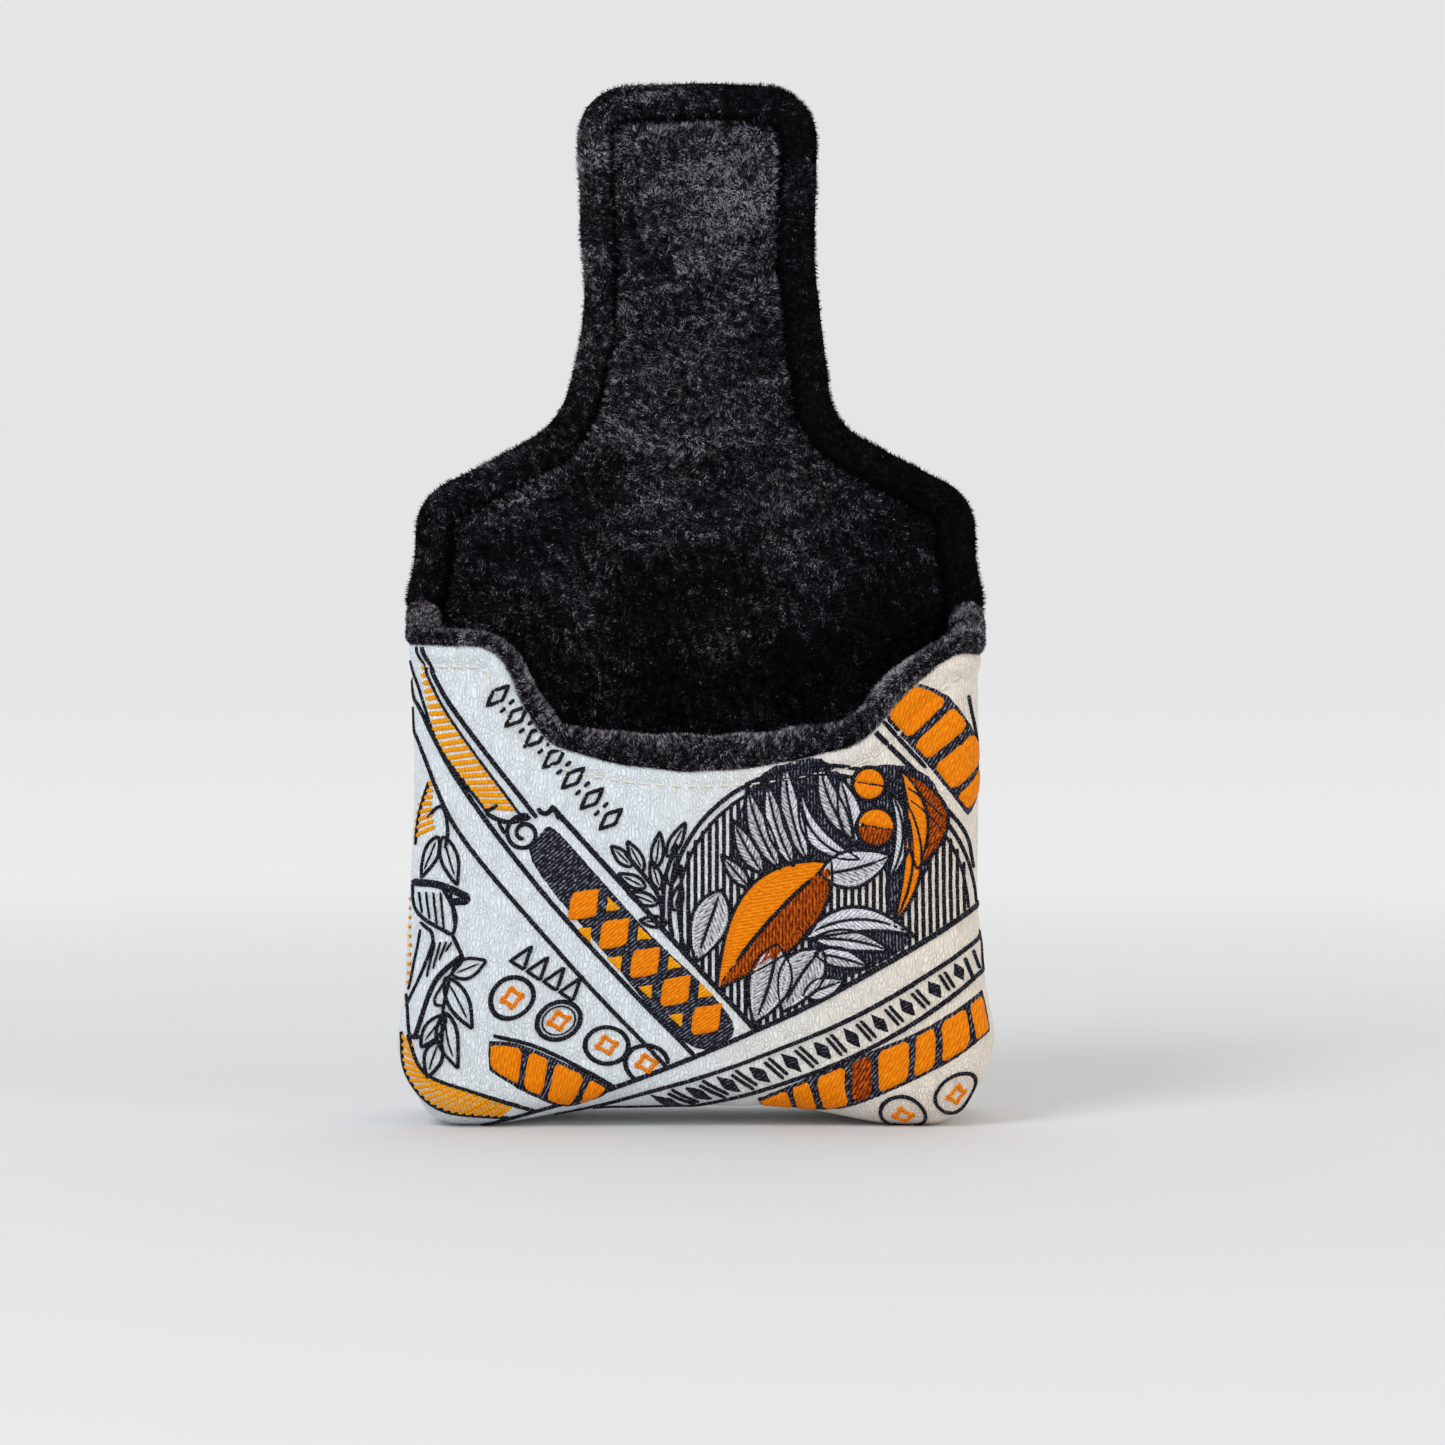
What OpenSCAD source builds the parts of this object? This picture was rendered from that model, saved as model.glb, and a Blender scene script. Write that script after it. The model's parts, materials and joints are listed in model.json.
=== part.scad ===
// Mallet putter head cover: a padded leather pocket with a plush lining and a flap that
// folds forward over the mouth and is held on the front panel by two magnets.
// Frame: +X to the right, +Y to the back, +Z up, origin under the middle of the base.
// The front panel faces -Y. The flap is modelled open, standing up in line with the back.

/* [Pocket] */
// Outer width of the pocket
body_w = 124; // [116:1:136]
// Outer depth of the pocket, front to back
body_d = 42; // [38:1:52]
// Height of the leather edge at the front corners of the mouth
corner_h = 102.5; // [98:0.5:103]
// Outer radius of the two bottom corners
corner_r = 13; // [10:0.5:16]
// Height of the lowest part of the scooped front edge
scoop_h = 76.5; // [74:0.5:84]
// Radius of the shallow bowl along the middle of the scoop
bowl_r = 90; // [70:5:140]
// Half width at which the bowl starts to turn up towards the corners
scoop_bend = 30; // [26:1:34]
// Half width at which the scoop reaches the corners' height
scoop_half = 52; // [50:1:56]
// Rise of the side panels' top edge from front to back
gusset_rise = 1.8; // [0:0.1:2]

/* [Layers] */
// Thickness of the leather
leather_t = 1; // [0.8:0.1:1.2]
// Thickness of the foam padding
foam_t = 3; // [2.8:0.1:3.2]
// Thickness of the plush lining, pile included
lining_t = 2; // [1.6:0.1:2.2]
// Height of the plush binding that rolls over the edge of the mouth
roll_h = 5; // [4:0.1:5]
// Height that embroidery stands proud of the leather
thread_t = 0.4; // [0.3:0.05:0.5]

/* [Flap] */
// Height of the fold line between the back panel and the lid
fold_h = 110; // [109.6:0.1:114]
// Height of the flap's tip
flap_top = 227; // [222:1:232]
// Half width of the flap's neck
neck_half = 26.3; // [25:0.1:28]
// Half width of the flap near its tip
tip_half = 27.2; // [26:0.1:29]
// Width of the plush binding round the flap
binding_w = 8; // [7:0.1:9]
// Room between the closed flap and the front leather
flap_gap = 0.8; // [0.6:0.1:1.2]
// Furthest that each fold bends backwards, in degrees
back_fold = 30; // [10:1:30]

/* [Closure] */
// Diameter of each disc magnet
magnet_d = 20; // [16:1:21]
// Thickness of each disc magnet
magnet_t = 1.9; // [1.5:0.1:1.9]
// Outer diameter of the pouch that holds a magnet
pouch_d = 26; // [24:1:27]
// Height of the front magnet's centre
front_magnet_h = 59; // [57:0.5:60]

/* [Hidden] */

WHITE = [0.90, 0.91, 0.90];
BLACK = [0.07, 0.07, 0.09];
NAVY = [0.10, 0.11, 0.20];
ORANGE = [0.95, 0.55, 0.05];
RUST = [0.65, 0.27, 0.05];
SILVER = [0.62, 0.64, 0.70];
FOAM = [0.75, 0.76, 0.72];
STEEL = [0.75, 0.76, 0.78];
PVC = [0.85, 0.88, 0.90];
CREAM = [0.93, 0.92, 0.86];

half_w = body_w / 2;
half_d = body_d / 2;
wall = leather_t + foam_t + lining_t;      // whole thickness of a panel
in_d = half_d - wall;                      // lining face, front and back
foam_in = half_d - leather_t - foam_t;     // inner face of the foam
foam_out = half_d - leather_t;             // outer face of the foam
lid_l = in_d + half_d + flap_gap;          // lid length: fold line to fold line
fold2_h = fold_h + lid_l;                  // height of the fold between lid and flap
flap_magnet_h = fold2_h + fold_h - front_magnet_h;  // meets the front magnet when shut
fold_gap = 0.15;                           // half of the gap at a fold line
stitch_drop = 4.5;                         // rim topstitch below the leather edge
stitch_l = 2.6;                            // length of one stitch
stitch_w = 0.6;                            // width of one stitch
pitch = 3.8;                               // from one stitch to the next
shoulder_h = 135.5;                        // corner of the lid's shoulder
neck_h = 152;                              // corner between shoulder and neck
waist_h = 188;                             // narrowest place of the neck
pouch_skin = 0.5;                          // thickness of a pouch's skin
e = 0.05;                                  // running clearance of sealed parts

// ---------- outlines ----------

function unit(v) = v / norm(v);
function smooth(t) = let (c = min(max(t, 0), 1)) c * c * (3 - 2 * c);
function edge_z(x) = let (
    bowl = scoop_h + x * x / (2 * bowl_r),
    t = smooth((abs(x) - scoop_bend) / (scoop_half - scoop_bend))
) bowl + (corner_h - bowl) * t;
function slope(x) = (edge_z(x + 0.1) - edge_z(x - 0.1)) / 0.2;
// Point of the scooped edge at x, moved by d along the edge's upward normal
function edge_point(x, d) = let (n = unit([-slope(x), 1])) [x, edge_z(x)] + d * n;

// Arc of radius r that replaces the corner b between a and c
function fillet(a, b, c, r, n = 10) = let (
    u = unit(a - b), v = unit(c - b), half = acos(u * v) / 2,
    o = b + unit(u + v) * r / sin(half),
    p = b + u * r / tan(half) - o, q = b + v * r / tan(half) - o,
    a0 = atan2(p[1], p[0]),
    turn = (atan2(q[1], q[0]) - a0 + 540) % 360 - 180
) [for (i = [0:n]) o + r * [cos(a0 + turn * i / n), sin(a0 + turn * i / n)]];

// Right half of the lid and flap outline, from the first fold to the middle of the tip
corners = [
    [half_w, fold_h - 20, 0], [half_w, shoulder_h, 12], [30.5, neck_h, 14],
    [neck_half, waist_h, 60], [tip_half, flap_top - 0.8, 12], [0, flap_top, 0]
];
function xy(p) = [p[0], p[1]];
right_side = concat(
    [xy(corners[0])],
    [for (k = [1:4]) each fillet(xy(corners[k - 1]), xy(corners[k]), xy(corners[k + 1]),
        corners[k][2])],
    [xy(corners[5])]
);
last = len(right_side) - 1;
flap_path = concat(right_side, [for (i = [last - 1:-1:0]) [-right_side[i][0], right_side[i][1]]]);

// Path moved inwards by d, vertex by vertex
function inset(path, d) = [
    for (i = [0:len(path) - 1]) let (
        t = unit(path[min(i + 1, len(path) - 1)] - path[max(i - 1, 0)])
    ) path[i] + d * [-t[1], t[0]]
];

// Outline of the pocket seen from the front, inset by d: level top at height top
module pocket_shape(d, top) {
    r = corner_r - d;
    w = half_w - d;
    translate([-w, d + r]) square([2 * w, top - d - r]);
    translate([-w + r, d]) square([2 * (w - r), r + 0.01]);
    for (s = [-1, 1]) translate([s * (w - r), d + r]) circle(r, $fn = 64);
}

// Everything below the scooped edge of the front panel, moved down by d
module below_scoop(d = 0) {
    polygon(concat(
        [for (x = [-70:2:70]) edge_point(x, -d)],
        [[70, -5], [-70, -5]]
    ));
}

module flap_shape(d) { polygon(inset(flap_path, d)); }
module level(z0, z1) { translate([-80, z0]) square([160, z1 - z0]); }

// Stands a 2D shape (x, z) up and gives it thickness from y0 to y1
module upright(y0, y1) {
    translate([0, y1, 0]) rotate([90, 0, 0]) linear_extrude(y1 - y0) children();
}

// Wedge of free room along a fold line, open towards the back
module fold_room(h) {
    spread = (wall + 1) * tan(back_fold / 2);
    rotate([90, 0, 90]) translate([0, 0, -80]) linear_extrude(160) polygon([
        [in_d - 1, h - fold_gap], [in_d, h - fold_gap], [half_d + 1, h - fold_gap - spread],
        [half_d + 1, h + fold_gap + spread], [in_d, h + fold_gap], [in_d - 1, h + fold_gap]
    ]);
}

// ---------- pocket: front and back panels ----------

module front_panel(d, y0, y1) {
    upright(y0, y1) intersection() {
        pocket_shape(d, corner_h);
        below_scoop();
    }
}

module back_panel(d, y0, y1) {
    difference() {
        upright(y0, y1) pocket_shape(d, fold_h);
        fold_room(fold_h);
    }
}

module disc(y0, y1, h, d) {
    translate([0, y1, h]) rotate([90, 0, 0]) cylinder(h = y1 - y0, d = d, $fn = 96);
}

module front_leather() { color(WHITE) front_panel(0, -half_d, -foam_out); }
module front_foam() {
    color(FOAM) difference() {
        front_panel(leather_t, -foam_out, -foam_in);
        disc(-foam_out - 1, -foam_in + 1, front_magnet_h, pouch_d + 2 * e);
    }
}
module front_lining() { color(BLACK) front_panel(leather_t + foam_t, -foam_in, -in_d); }
module back_leather() { color(WHITE) back_panel(0, foam_out, half_d); }
module back_foam() { color(FOAM) back_panel(leather_t, foam_in, foam_out); }
module back_lining() { color(BLACK) back_panel(leather_t + foam_t, in_d, foam_in); }

// ---------- pocket: sides and bottom ----------

// Strip that runs round the pocket between insets d0 and d1, y reaching +-y
module strip(d0, d1, y) {
    upright(-y, y) difference() {
        pocket_shape(d0, corner_h + gusset_rise + 1);
        pocket_shape(d1, corner_h + gusset_rise + 2);
    }
}

// Everything under the sloping top edge of the side panels
module under_rim() {
    rotate([90, 0, 90]) translate([0, 0, -80]) linear_extrude(160) polygon([
        [-half_d, -1], [half_d, -1], [half_d, corner_h + gusset_rise], [-half_d, corner_h]
    ]);
}

module side_strip(side, d0, d1, y) {
    intersection() {
        strip(d0, d1, y);
        under_rim();
        translate([side > 0 ? 0 : -80, -30, corner_r]) cube([80, 60, 200]);
    }
}

module bottom_strip(d0, d1, y) {
    intersection() {
        strip(d0, d1, y);
        translate([-80, -30, -1]) cube([160, 60, corner_r + 1]);
    }
}

module left_side_leather() { color(WHITE) side_strip(-1, 0, leather_t, foam_out); }
module left_side_foam() { color(FOAM) side_strip(-1, leather_t, leather_t + foam_t, foam_in); }
module left_side_lining() { color(BLACK) side_strip(-1, leather_t + foam_t, wall, in_d); }
module right_side_leather() { color(WHITE) side_strip(1, 0, leather_t, foam_out); }
module right_side_foam() { color(FOAM) side_strip(1, leather_t, leather_t + foam_t, foam_in); }
module right_side_lining() { color(BLACK) side_strip(1, leather_t + foam_t, wall, in_d); }
module bottom_leather() { color(WHITE) bottom_strip(0, leather_t, foam_out); }
module bottom_foam() { color(FOAM) bottom_strip(leather_t, leather_t + foam_t, foam_in); }
module bottom_lining() { color(BLACK) bottom_strip(leather_t + foam_t, wall, in_d); }

// ---------- plush binding round the mouth ----------

// Band along the scooped edge, from the edge up to height h above it
module scoop_band(h) {
    xs = [for (x = [-half_w:2:half_w]) x];
    polygon(concat(
        [for (x = xs) edge_point(x, 0)],
        [for (i = [len(xs) - 1:-1:0]) edge_point(xs[i], h)]
    ));
}

module front_rim_binding() {
    step = 0.8;   // each outer ply stands this much lower, which rounds the roll
    color(BLACK) union() {
        upright(-half_d, -half_d + step) scoop_band(roll_h - step);
        upright(-half_d + step, -in_d - step) scoop_band(roll_h);
        upright(-in_d - step, -in_d) scoop_band(roll_h - step);
    }
}

module side_rim_binding(side) {
    slant = gusset_rise / body_d;
    z0 = corner_h + slant * (half_d - in_d);
    z1 = corner_h + slant * (half_d + in_d);
    x0 = side > 0 ? half_w - wall : -half_w;
    rotate([90, 0, 90]) translate([0, 0, x0]) linear_extrude(wall) polygon([
        [-in_d, z0], [in_d, z1], [in_d, z1 + roll_h], [-in_d, z0 + roll_h]
    ]);
}
module left_rim_binding() { color(BLACK) side_rim_binding(-1); }
module right_rim_binding() { color(BLACK) side_rim_binding(1); }

module rim_topstitch() {
    count = floor((half_w - 3) / pitch);
    color(CREAM) for (i = [-count:count]) {
        p = edge_point(i * pitch, -stitch_drop);
        upright(-half_d - stitch_w / 2, -half_d)
            translate(p) rotate(atan(slope(i * pitch)))
                square([stitch_l, stitch_w], center = true);
    }
}

// ---------- lid and flap ----------

module lid_part(d0, y0, y1) {
    difference() {
        upright(y0, y1) intersection() {
            flap_shape(d0);
            level(fold_h, fold2_h);
        }
        fold_room(fold_h);
        fold_room(fold2_h);
    }
}

module flap_part(d0, y0, y1) {
    difference() {
        upright(y0, y1) intersection() {
            flap_shape(d0);
            level(fold2_h, flap_top + 5);
        }
        fold_room(fold2_h);
    }
}

// Plush strip round the edge: wide on the lining side, and closing the foam's edge
module edge_binding(z0, z1) {
    difference() {
        union() {
            upright(in_d, foam_in) ring_between(0, binding_w, z0, z1);
            upright(foam_in, foam_out) ring_between(0, leather_t, z0, z1);
        }
        fold_room(fold_h);
        fold_room(fold2_h);
    }
}

module ring_between(d0, d1, z0, z1) {
    intersection() {
        difference() {
            flap_shape(d0);
            flap_shape(d1);
        }
        level(z0, z1);
    }
}

// Stitches that hold the binding down, along its inner edge on the lining side
module binding_stitches(z0, z1) {
    path = inset(flap_path, binding_w - 0.7);
    color(BLACK) for (i = [1:len(path) - 2]) {
        run = path[i + 1] - path[i];
        count = max(1, floor(norm(run) / pitch));
        for (k = [0:count - 1]) {
            p = path[i] + run * (k + 0.5) / count;
            if (p[1] > z0 + 4 && p[1] < z1 - 4 && (norm(run) > stitch_l || i % 2 == 0))
                upright(in_d - 0.3, in_d) translate(p) rotate(atan2(run[1], run[0]))
                    square([min(stitch_l, norm(run) * 0.8), stitch_w], center = true);
        }
    }
}

module lid_leather() { color(WHITE) lid_part(0, foam_out, half_d); }
module lid_foam() { color(FOAM) lid_part(leather_t, foam_in, foam_out); }
module lid_lining() { color(BLACK) lid_part(binding_w, in_d, foam_in); }
module lid_side_binding(side) {
    intersection() {
        edge_binding(fold_h, fold2_h);
        translate([side > 0 ? 0 : -80, 0, 0]) cube([80, 60, 300]);
    }
}
module lid_left_binding() { color(BLACK) lid_side_binding(-1); }
module lid_right_binding() { color(BLACK) lid_side_binding(1); }
module lid_binding_stitch() { binding_stitches(fold_h, fold2_h); }

module flap_leather() { color(WHITE) flap_part(0, foam_out, half_d); }
module flap_foam() {
    color(FOAM) difference() {
        flap_part(leather_t, foam_in, foam_out);
        disc(foam_in - 1, foam_out + 1, flap_magnet_h, pouch_d + 2 * e);
    }
}
module flap_lining() { color(BLACK) flap_part(binding_w, in_d, foam_in); }
module flap_binding() { color(BLACK) edge_binding(fold2_h, flap_top + 5); }
module flap_binding_stitch() { binding_stitches(fold2_h, flap_top + 5); }

// ---------- magnets and their pouches ----------

module magnet(y_mid, h) {
    color(STEEL) disc(y_mid - magnet_t / 2, y_mid + magnet_t / 2, h, magnet_d);
}
module pouch(y0, y1, h) {
    color(PVC) difference() {
        disc(y0, y1, h, pouch_d);
        disc(y0 + pouch_skin, y1 - pouch_skin, h, magnet_d + 2 * e);
    }
}
panel_mid = (foam_in + foam_out) / 2;
module front_magnet() { magnet(-panel_mid, front_magnet_h); }
module front_magnet_pouch() { pouch(-foam_out, -foam_in, front_magnet_h); }
module flap_magnet() { magnet(panel_mid, flap_magnet_h); }
module flap_magnet_pouch() { pouch(foam_in, foam_out, flap_magnet_h); }

// ---------- embroidery, drawn in the plane of the panel ----------

// Straight line of thread from a to b
module line(a, b, w) {
    translate((a + b) / 2) rotate(atan2(b[1] - a[1], b[0] - a[0]))
        square([norm(b - a), w], center = true);
}
module ring(c, r, w) {
    translate(c) difference() {
        circle(r, $fn = 48);
        circle(r - w, $fn = 48);
    }
}
// Leaf with its tip l away from c, in the direction a
module leaf(c, l, w, a) {
    translate(c) rotate(a) polygon([
        for (i = [0:19]) let (t = i * 18)
            [l / 2 - l / 2 * cos(t), w / 2 * sin(t) * (1 - 0.35 * cos(t + 180))]
    ]);
}
module ellipse(c, rx, rz) {
    translate(c) polygon([for (i = [0:47]) [rx * cos(i * 7.5), rz * sin(i * 7.5)]]);
}

line_w = 1.1;                    // width of an outline
band_a = [-57, 88];              // the falling band: middle of its upper end
band_b = [9, 14];                // and of its lower end
band_half = 6.2;                 // half width of the falling band
rise_a = [-40, 4];               // the rising band: middle of its left end
rise_b = [57, 41];               // and of its right end
rise_half = 4.2;                 // half width of the rising band
medal = [27, 56];                // centre of the medallion
medal_rx = 29;
medal_rz = 20;
coins = [[-40, 28], [-29.5, 22], [-19, 16]];
coin_r = 5;

function across(a, b, d) = let (u = unit(b - a)) d * [-u[1], u[0]];
module band_edges(a, b, half) {
    for (s = [-1, 1]) line(a + across(a, b, s * half), b + across(a, b, s * half), line_w);
}
// Keeps a 2D design on the flat face, clear of the edge and of the rim's topstitch
module on_front() {
    intersection() {
        children();
        pocket_shape(3, corner_h);
        below_scoop(stitch_drop + 1);
    }
}
module dark_shapes() {
    band_edges(band_a, band_b, band_half);
    difference() {
        band_edges(rise_a, rise_b, rise_half);
        line(band_a, band_b, 2 * band_half + line_w);
    }
    difference() {
        ellipse(medal, medal_rx, medal_rz);
        ellipse(medal, medal_rx - line_w, medal_rz - line_w);
        line(band_a, band_b, 2 * band_half + line_w);
        line(rise_a, rise_b, 2 * rise_half + line_w);
    }
    for (c = coins) ring(c, coin_r, line_w);
}
module orange_shapes() {
    u = unit(band_b - band_a);
    for (i = [0:9]) {
        p = band_a + u * (6 + i * 3.4);
        line(p - [band_half * 0.8, 0], p + [band_half * 0.8, 0], 1.6);
    }
    for (i = [0:4])
        translate(band_a + u * (46 + i * 8)) rotate(atan2(u[1], u[0])) circle(3.4, $fn = 4);
    for (c = coins) translate(c) circle(2, $fn = 4);
    leaf(medal + [-13, -9], 22, 11, 42);
}
module rust_shapes() { leaf(medal + [-16, -15], 22, 7, 30); }
module silver_shapes() {
    leaf(medal + [-14, 3], 14, 6, 100);
    leaf(medal + [-3, -13], 18, 6, 8);
    translate(medal + [10, 7]) circle(6, $fn = 48);
}

module thread_front() { upright(-half_d - thread_t, -half_d) on_front() children(); }
module thread_back(z0, z1) { upright(half_d, half_d + thread_t) children(); }

module front_dark_embroidery() { color(NAVY) thread_front() dark_shapes(); }
module front_orange_embroidery() {
    color(ORANGE) thread_front() difference() {
        orange_shapes();
        dark_shapes();
        rust_shapes();
        silver_shapes();
    }
}
module front_rust_embroidery() {
    color(RUST) thread_front() difference() {
        rust_shapes();
        dark_shapes();
    }
}
module front_silver_embroidery() {
    color(SILVER) thread_front() difference() {
        silver_shapes();
        dark_shapes();
        rust_shapes();
    }
}

back_a = [-50, 80];
back_b = [40, 12];
module back_dark() {
    band_edges(back_a, back_b, band_half);
    ring([22, 68], 15, line_w);
}
module back_dark_embroidery() { color(NAVY) thread_back() back_dark(); }
module back_orange_embroidery() {
    u = unit(back_b - back_a);
    color(ORANGE) thread_back() {
        for (i = [0:8])
            translate(back_a + u * (10 + i * 11)) rotate(atan2(u[1], u[0]))
                circle(3.8, $fn = 4);
        translate([22, 68]) circle(8, $fn = 4);
    }
}

flap_mark = [0, flap_magnet_h];
module flap_dark_embroidery() {
    color(NAVY) thread_back() {
        ring(flap_mark, 18, line_w);
        ring(flap_mark, 14, line_w);
    }
}
module flap_orange_embroidery() {
    color(ORANGE) thread_back() for (i = [0:5]) leaf(flap_mark, 11, 5, 60 * i);
}

// ---------- nodes ----------

front_leather();
front_foam();
front_lining();
back_leather();
back_foam();
back_lining();
left_side_leather();
left_side_foam();
left_side_lining();
right_side_leather();
right_side_foam();
right_side_lining();
bottom_leather();
bottom_foam();
bottom_lining();
front_rim_binding();
left_rim_binding();
right_rim_binding();
rim_topstitch();
front_magnet();
front_magnet_pouch();
front_dark_embroidery();
front_orange_embroidery();
front_rust_embroidery();
front_silver_embroidery();
back_dark_embroidery();
back_orange_embroidery();
lid_leather();
lid_foam();
lid_lining();
lid_left_binding();
lid_right_binding();
lid_binding_stitch();
flap_leather();
flap_foam();
flap_lining();
flap_binding();
flap_binding_stitch();
flap_magnet();
flap_magnet_pouch();
flap_dark_embroidery();
flap_orange_embroidery();
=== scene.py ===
"""Looks of the mallet putter head cover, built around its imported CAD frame.

Shapes are worked out in millimetres and turned into metres when a mesh is made. The leather
and its embroidery are laid out on a flat pattern, which is then wrapped over the pocket's
rounded edges, so a line of thread runs on round the side as it does on the real cover.
"""
import json
import math

import bpy
import numpy as np
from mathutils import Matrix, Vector
from mathutils.geometry import delaunay_2d_cdt


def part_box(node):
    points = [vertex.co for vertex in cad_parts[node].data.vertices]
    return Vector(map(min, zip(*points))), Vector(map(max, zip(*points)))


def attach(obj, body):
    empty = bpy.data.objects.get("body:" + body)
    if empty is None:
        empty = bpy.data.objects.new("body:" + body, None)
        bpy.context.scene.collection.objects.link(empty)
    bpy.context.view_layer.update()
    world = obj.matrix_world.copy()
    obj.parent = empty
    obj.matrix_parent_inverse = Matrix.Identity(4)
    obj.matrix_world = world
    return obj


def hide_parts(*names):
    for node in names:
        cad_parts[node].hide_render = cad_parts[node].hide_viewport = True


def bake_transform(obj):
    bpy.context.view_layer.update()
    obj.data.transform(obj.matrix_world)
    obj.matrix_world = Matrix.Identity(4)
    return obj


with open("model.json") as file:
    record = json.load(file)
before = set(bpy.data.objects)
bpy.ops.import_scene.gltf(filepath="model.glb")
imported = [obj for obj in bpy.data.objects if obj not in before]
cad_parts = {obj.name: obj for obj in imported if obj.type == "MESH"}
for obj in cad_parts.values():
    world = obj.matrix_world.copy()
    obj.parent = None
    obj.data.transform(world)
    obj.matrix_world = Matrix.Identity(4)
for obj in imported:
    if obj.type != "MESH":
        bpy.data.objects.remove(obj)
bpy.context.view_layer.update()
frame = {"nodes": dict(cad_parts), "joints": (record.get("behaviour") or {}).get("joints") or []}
rng = np.random.default_rng(11)
MM = 0.001

# ---- sizes from the frame


def box_mm(node):
    """Lowest and highest corner of a CAD node, in mm."""
    lo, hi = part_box(node)
    return np.array(lo) / MM, np.array(hi) / MM


HALF_W = box_mm("front_leather")[1][0]
CORNER_Z = box_mm("front_leather")[1][2]
FRONT_Y = box_mm("front_leather")[0][1]
BACK_Y = box_mm("back_leather")[1][1]
MID_Y = 18.0                                    # where leather and plush meet on the flap
IN_X = -box_mm("left_side_lining")[1][0]        # inner half width
IN_Y = box_mm("back_lining")[0][1]              # inner half depth
FLOOR_Z = box_mm("bottom_lining")[0][2]
TIP_Z = box_mm("flap_leather")[1][2]
SCOOP_Z = box_mm("front_rim_binding")[0][2]
FOLD1, FOLD2 = [j["pos_m"][2] / MM for j in frame["joints"]]
MAGNET_Z = float(np.mean([b[2] for b in box_mm("flap_magnet")]))
CORNER_R = 13.0                                 # the pocket's lower corners, from the front
EDGE_R = 8.0                                    # rounding of the pocket's long edges
LID_EDGE_R = 3.0                                # and of the lid's
SEAM_Y = 11.5                                   # the side seams, front and back
BOWL_R = 90.0                                   # curve of the scooped edge's middle
SCOOP_BEND, SCOOP_HALF = 30.0, 52.0             # where it starts and stops turning level
SPLIT_Z = (FOLD1 + FOLD2) / 2                   # lid pieces are divided here, between folds


def smooth(t):
    """An eased step: 0 up to t = 0, 1 from t = 1."""
    t = np.clip(t, 0, 1)
    return t * t * (3 - 2 * t)


def scoop_z(x):
    """Height of the scooped edge. Its left side stands steeper than its right."""
    x = np.asarray(x, float)
    out = np.abs(x)
    left = 0.9 * smooth((out - 30) / 7) + 3.4 * smooth((out - 37) / 6)
    right = -4.2 * smooth((out - 24) / 18) - 2.4 * smooth((out - 42) / 12)
    out = out + np.where(x < 0, left, right)
    bowl = SCOOP_Z + out**2 / (2 * BOWL_R)
    t = smooth((out - SCOOP_BEND) / (SCOOP_HALF - SCOOP_BEND))
    return bowl + (CORNER_Z - bowl) * t


def bump(v, centre, width):
    """A bell curve, 1 at centre."""
    return np.exp(-(((v - centre) / width) ** 2))


# ---- seeded smooth noise

NOISE = {}


def noise(p, scale, key, terms=18):
    """Smooth noise of about unit size at points p, with features of about scale."""
    if key not in NOISE:
        draw = np.random.default_rng(hash_of(key))
        NOISE[key] = (draw.normal(size=(terms, 3)), draw.uniform(0, 2 * math.pi, terms))
    k, phase = NOISE[key]
    p3 = np.column_stack([p, np.zeros(len(p))]) if p.shape[1] == 2 else p
    return np.sin(p3 @ (k.T * (2.2 / scale)) + phase).sum(1) / math.sqrt(terms / 2)


def hash_of(text):
    """The same seed for the same text in every run."""
    return sum((i + 1) * ord(c) for i, c in enumerate(text)) * 7919


# ---- outlines


def arc(cx, cz, r, a0, a1, n):
    """n points round a centre, from angle a0 to a1 in degrees."""
    a = np.radians(np.linspace(a0, a1, n))
    return np.column_stack([cx + r * np.cos(a), cz + r * np.sin(a)])


def unit(rows):
    """Each row scaled to length 1."""
    return rows / np.linalg.norm(rows, axis=1)[:, None]


def mirrored(half):
    """A path followed by its mirror image, run backwards."""
    return np.vstack([half, half[::-1] * [-1, 1]])


def resample(path, step, closed=False):
    """Evenly spaced points along a path. A closed one doesn't repeat its first point."""
    path = np.asarray(path, float)
    if closed:
        path = np.vstack([path, path[:1]])
    length = np.concatenate([[0], np.cumsum(np.linalg.norm(np.diff(path, axis=0), axis=1))])
    n = max(2, int(round(length[-1] / step)) + 1)
    at = np.linspace(0, length[-1], n)
    out = np.column_stack([np.interp(at, length, path[:, k]) for k in range(path.shape[1])])
    return out[:-1] if closed else out


def chaikin(path, times=2, closed=False):
    """Rounds a path by cutting its corners."""
    path = np.asarray(path, float)
    for _ in range(times):
        if closed:
            nxt = np.roll(path, -1, 0)
            path = np.stack([0.75 * path + 0.25 * nxt, 0.25 * path + 0.75 * nxt], 1)
            path = path.reshape(-1, path.shape[2])
        else:
            a, b = path[:-1], path[1:]
            mid = np.stack([0.75 * a + 0.25 * b, 0.25 * a + 0.75 * b], 1)
            path = np.vstack([path[:1], mid.reshape(-1, path.shape[1])[1:-1], path[-1:]])
    return path


def cad_half_outline():
    """Right half of the lid and flap outline, bottom to top, from the CAD leather."""
    pts = []
    for node in ("lid_leather", "flap_leather"):
        pts += [v.co for v in frame["nodes"][node].data.vertices]
    pts = np.array(pts) / MM
    pts = pts[(pts[:, 1] > BACK_Y - 0.05) & (pts[:, 0] > -0.01)][:, [0, 2]]
    pts = pts[np.argsort(pts[:, 1] - 0.001 * pts[:, 0])]
    keep = [0]
    for i in range(1, len(pts)):
        if np.linalg.norm(pts[i] - pts[keep[-1]]) > 0.05:
            keep.append(i)
    return pts[keep]


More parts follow.
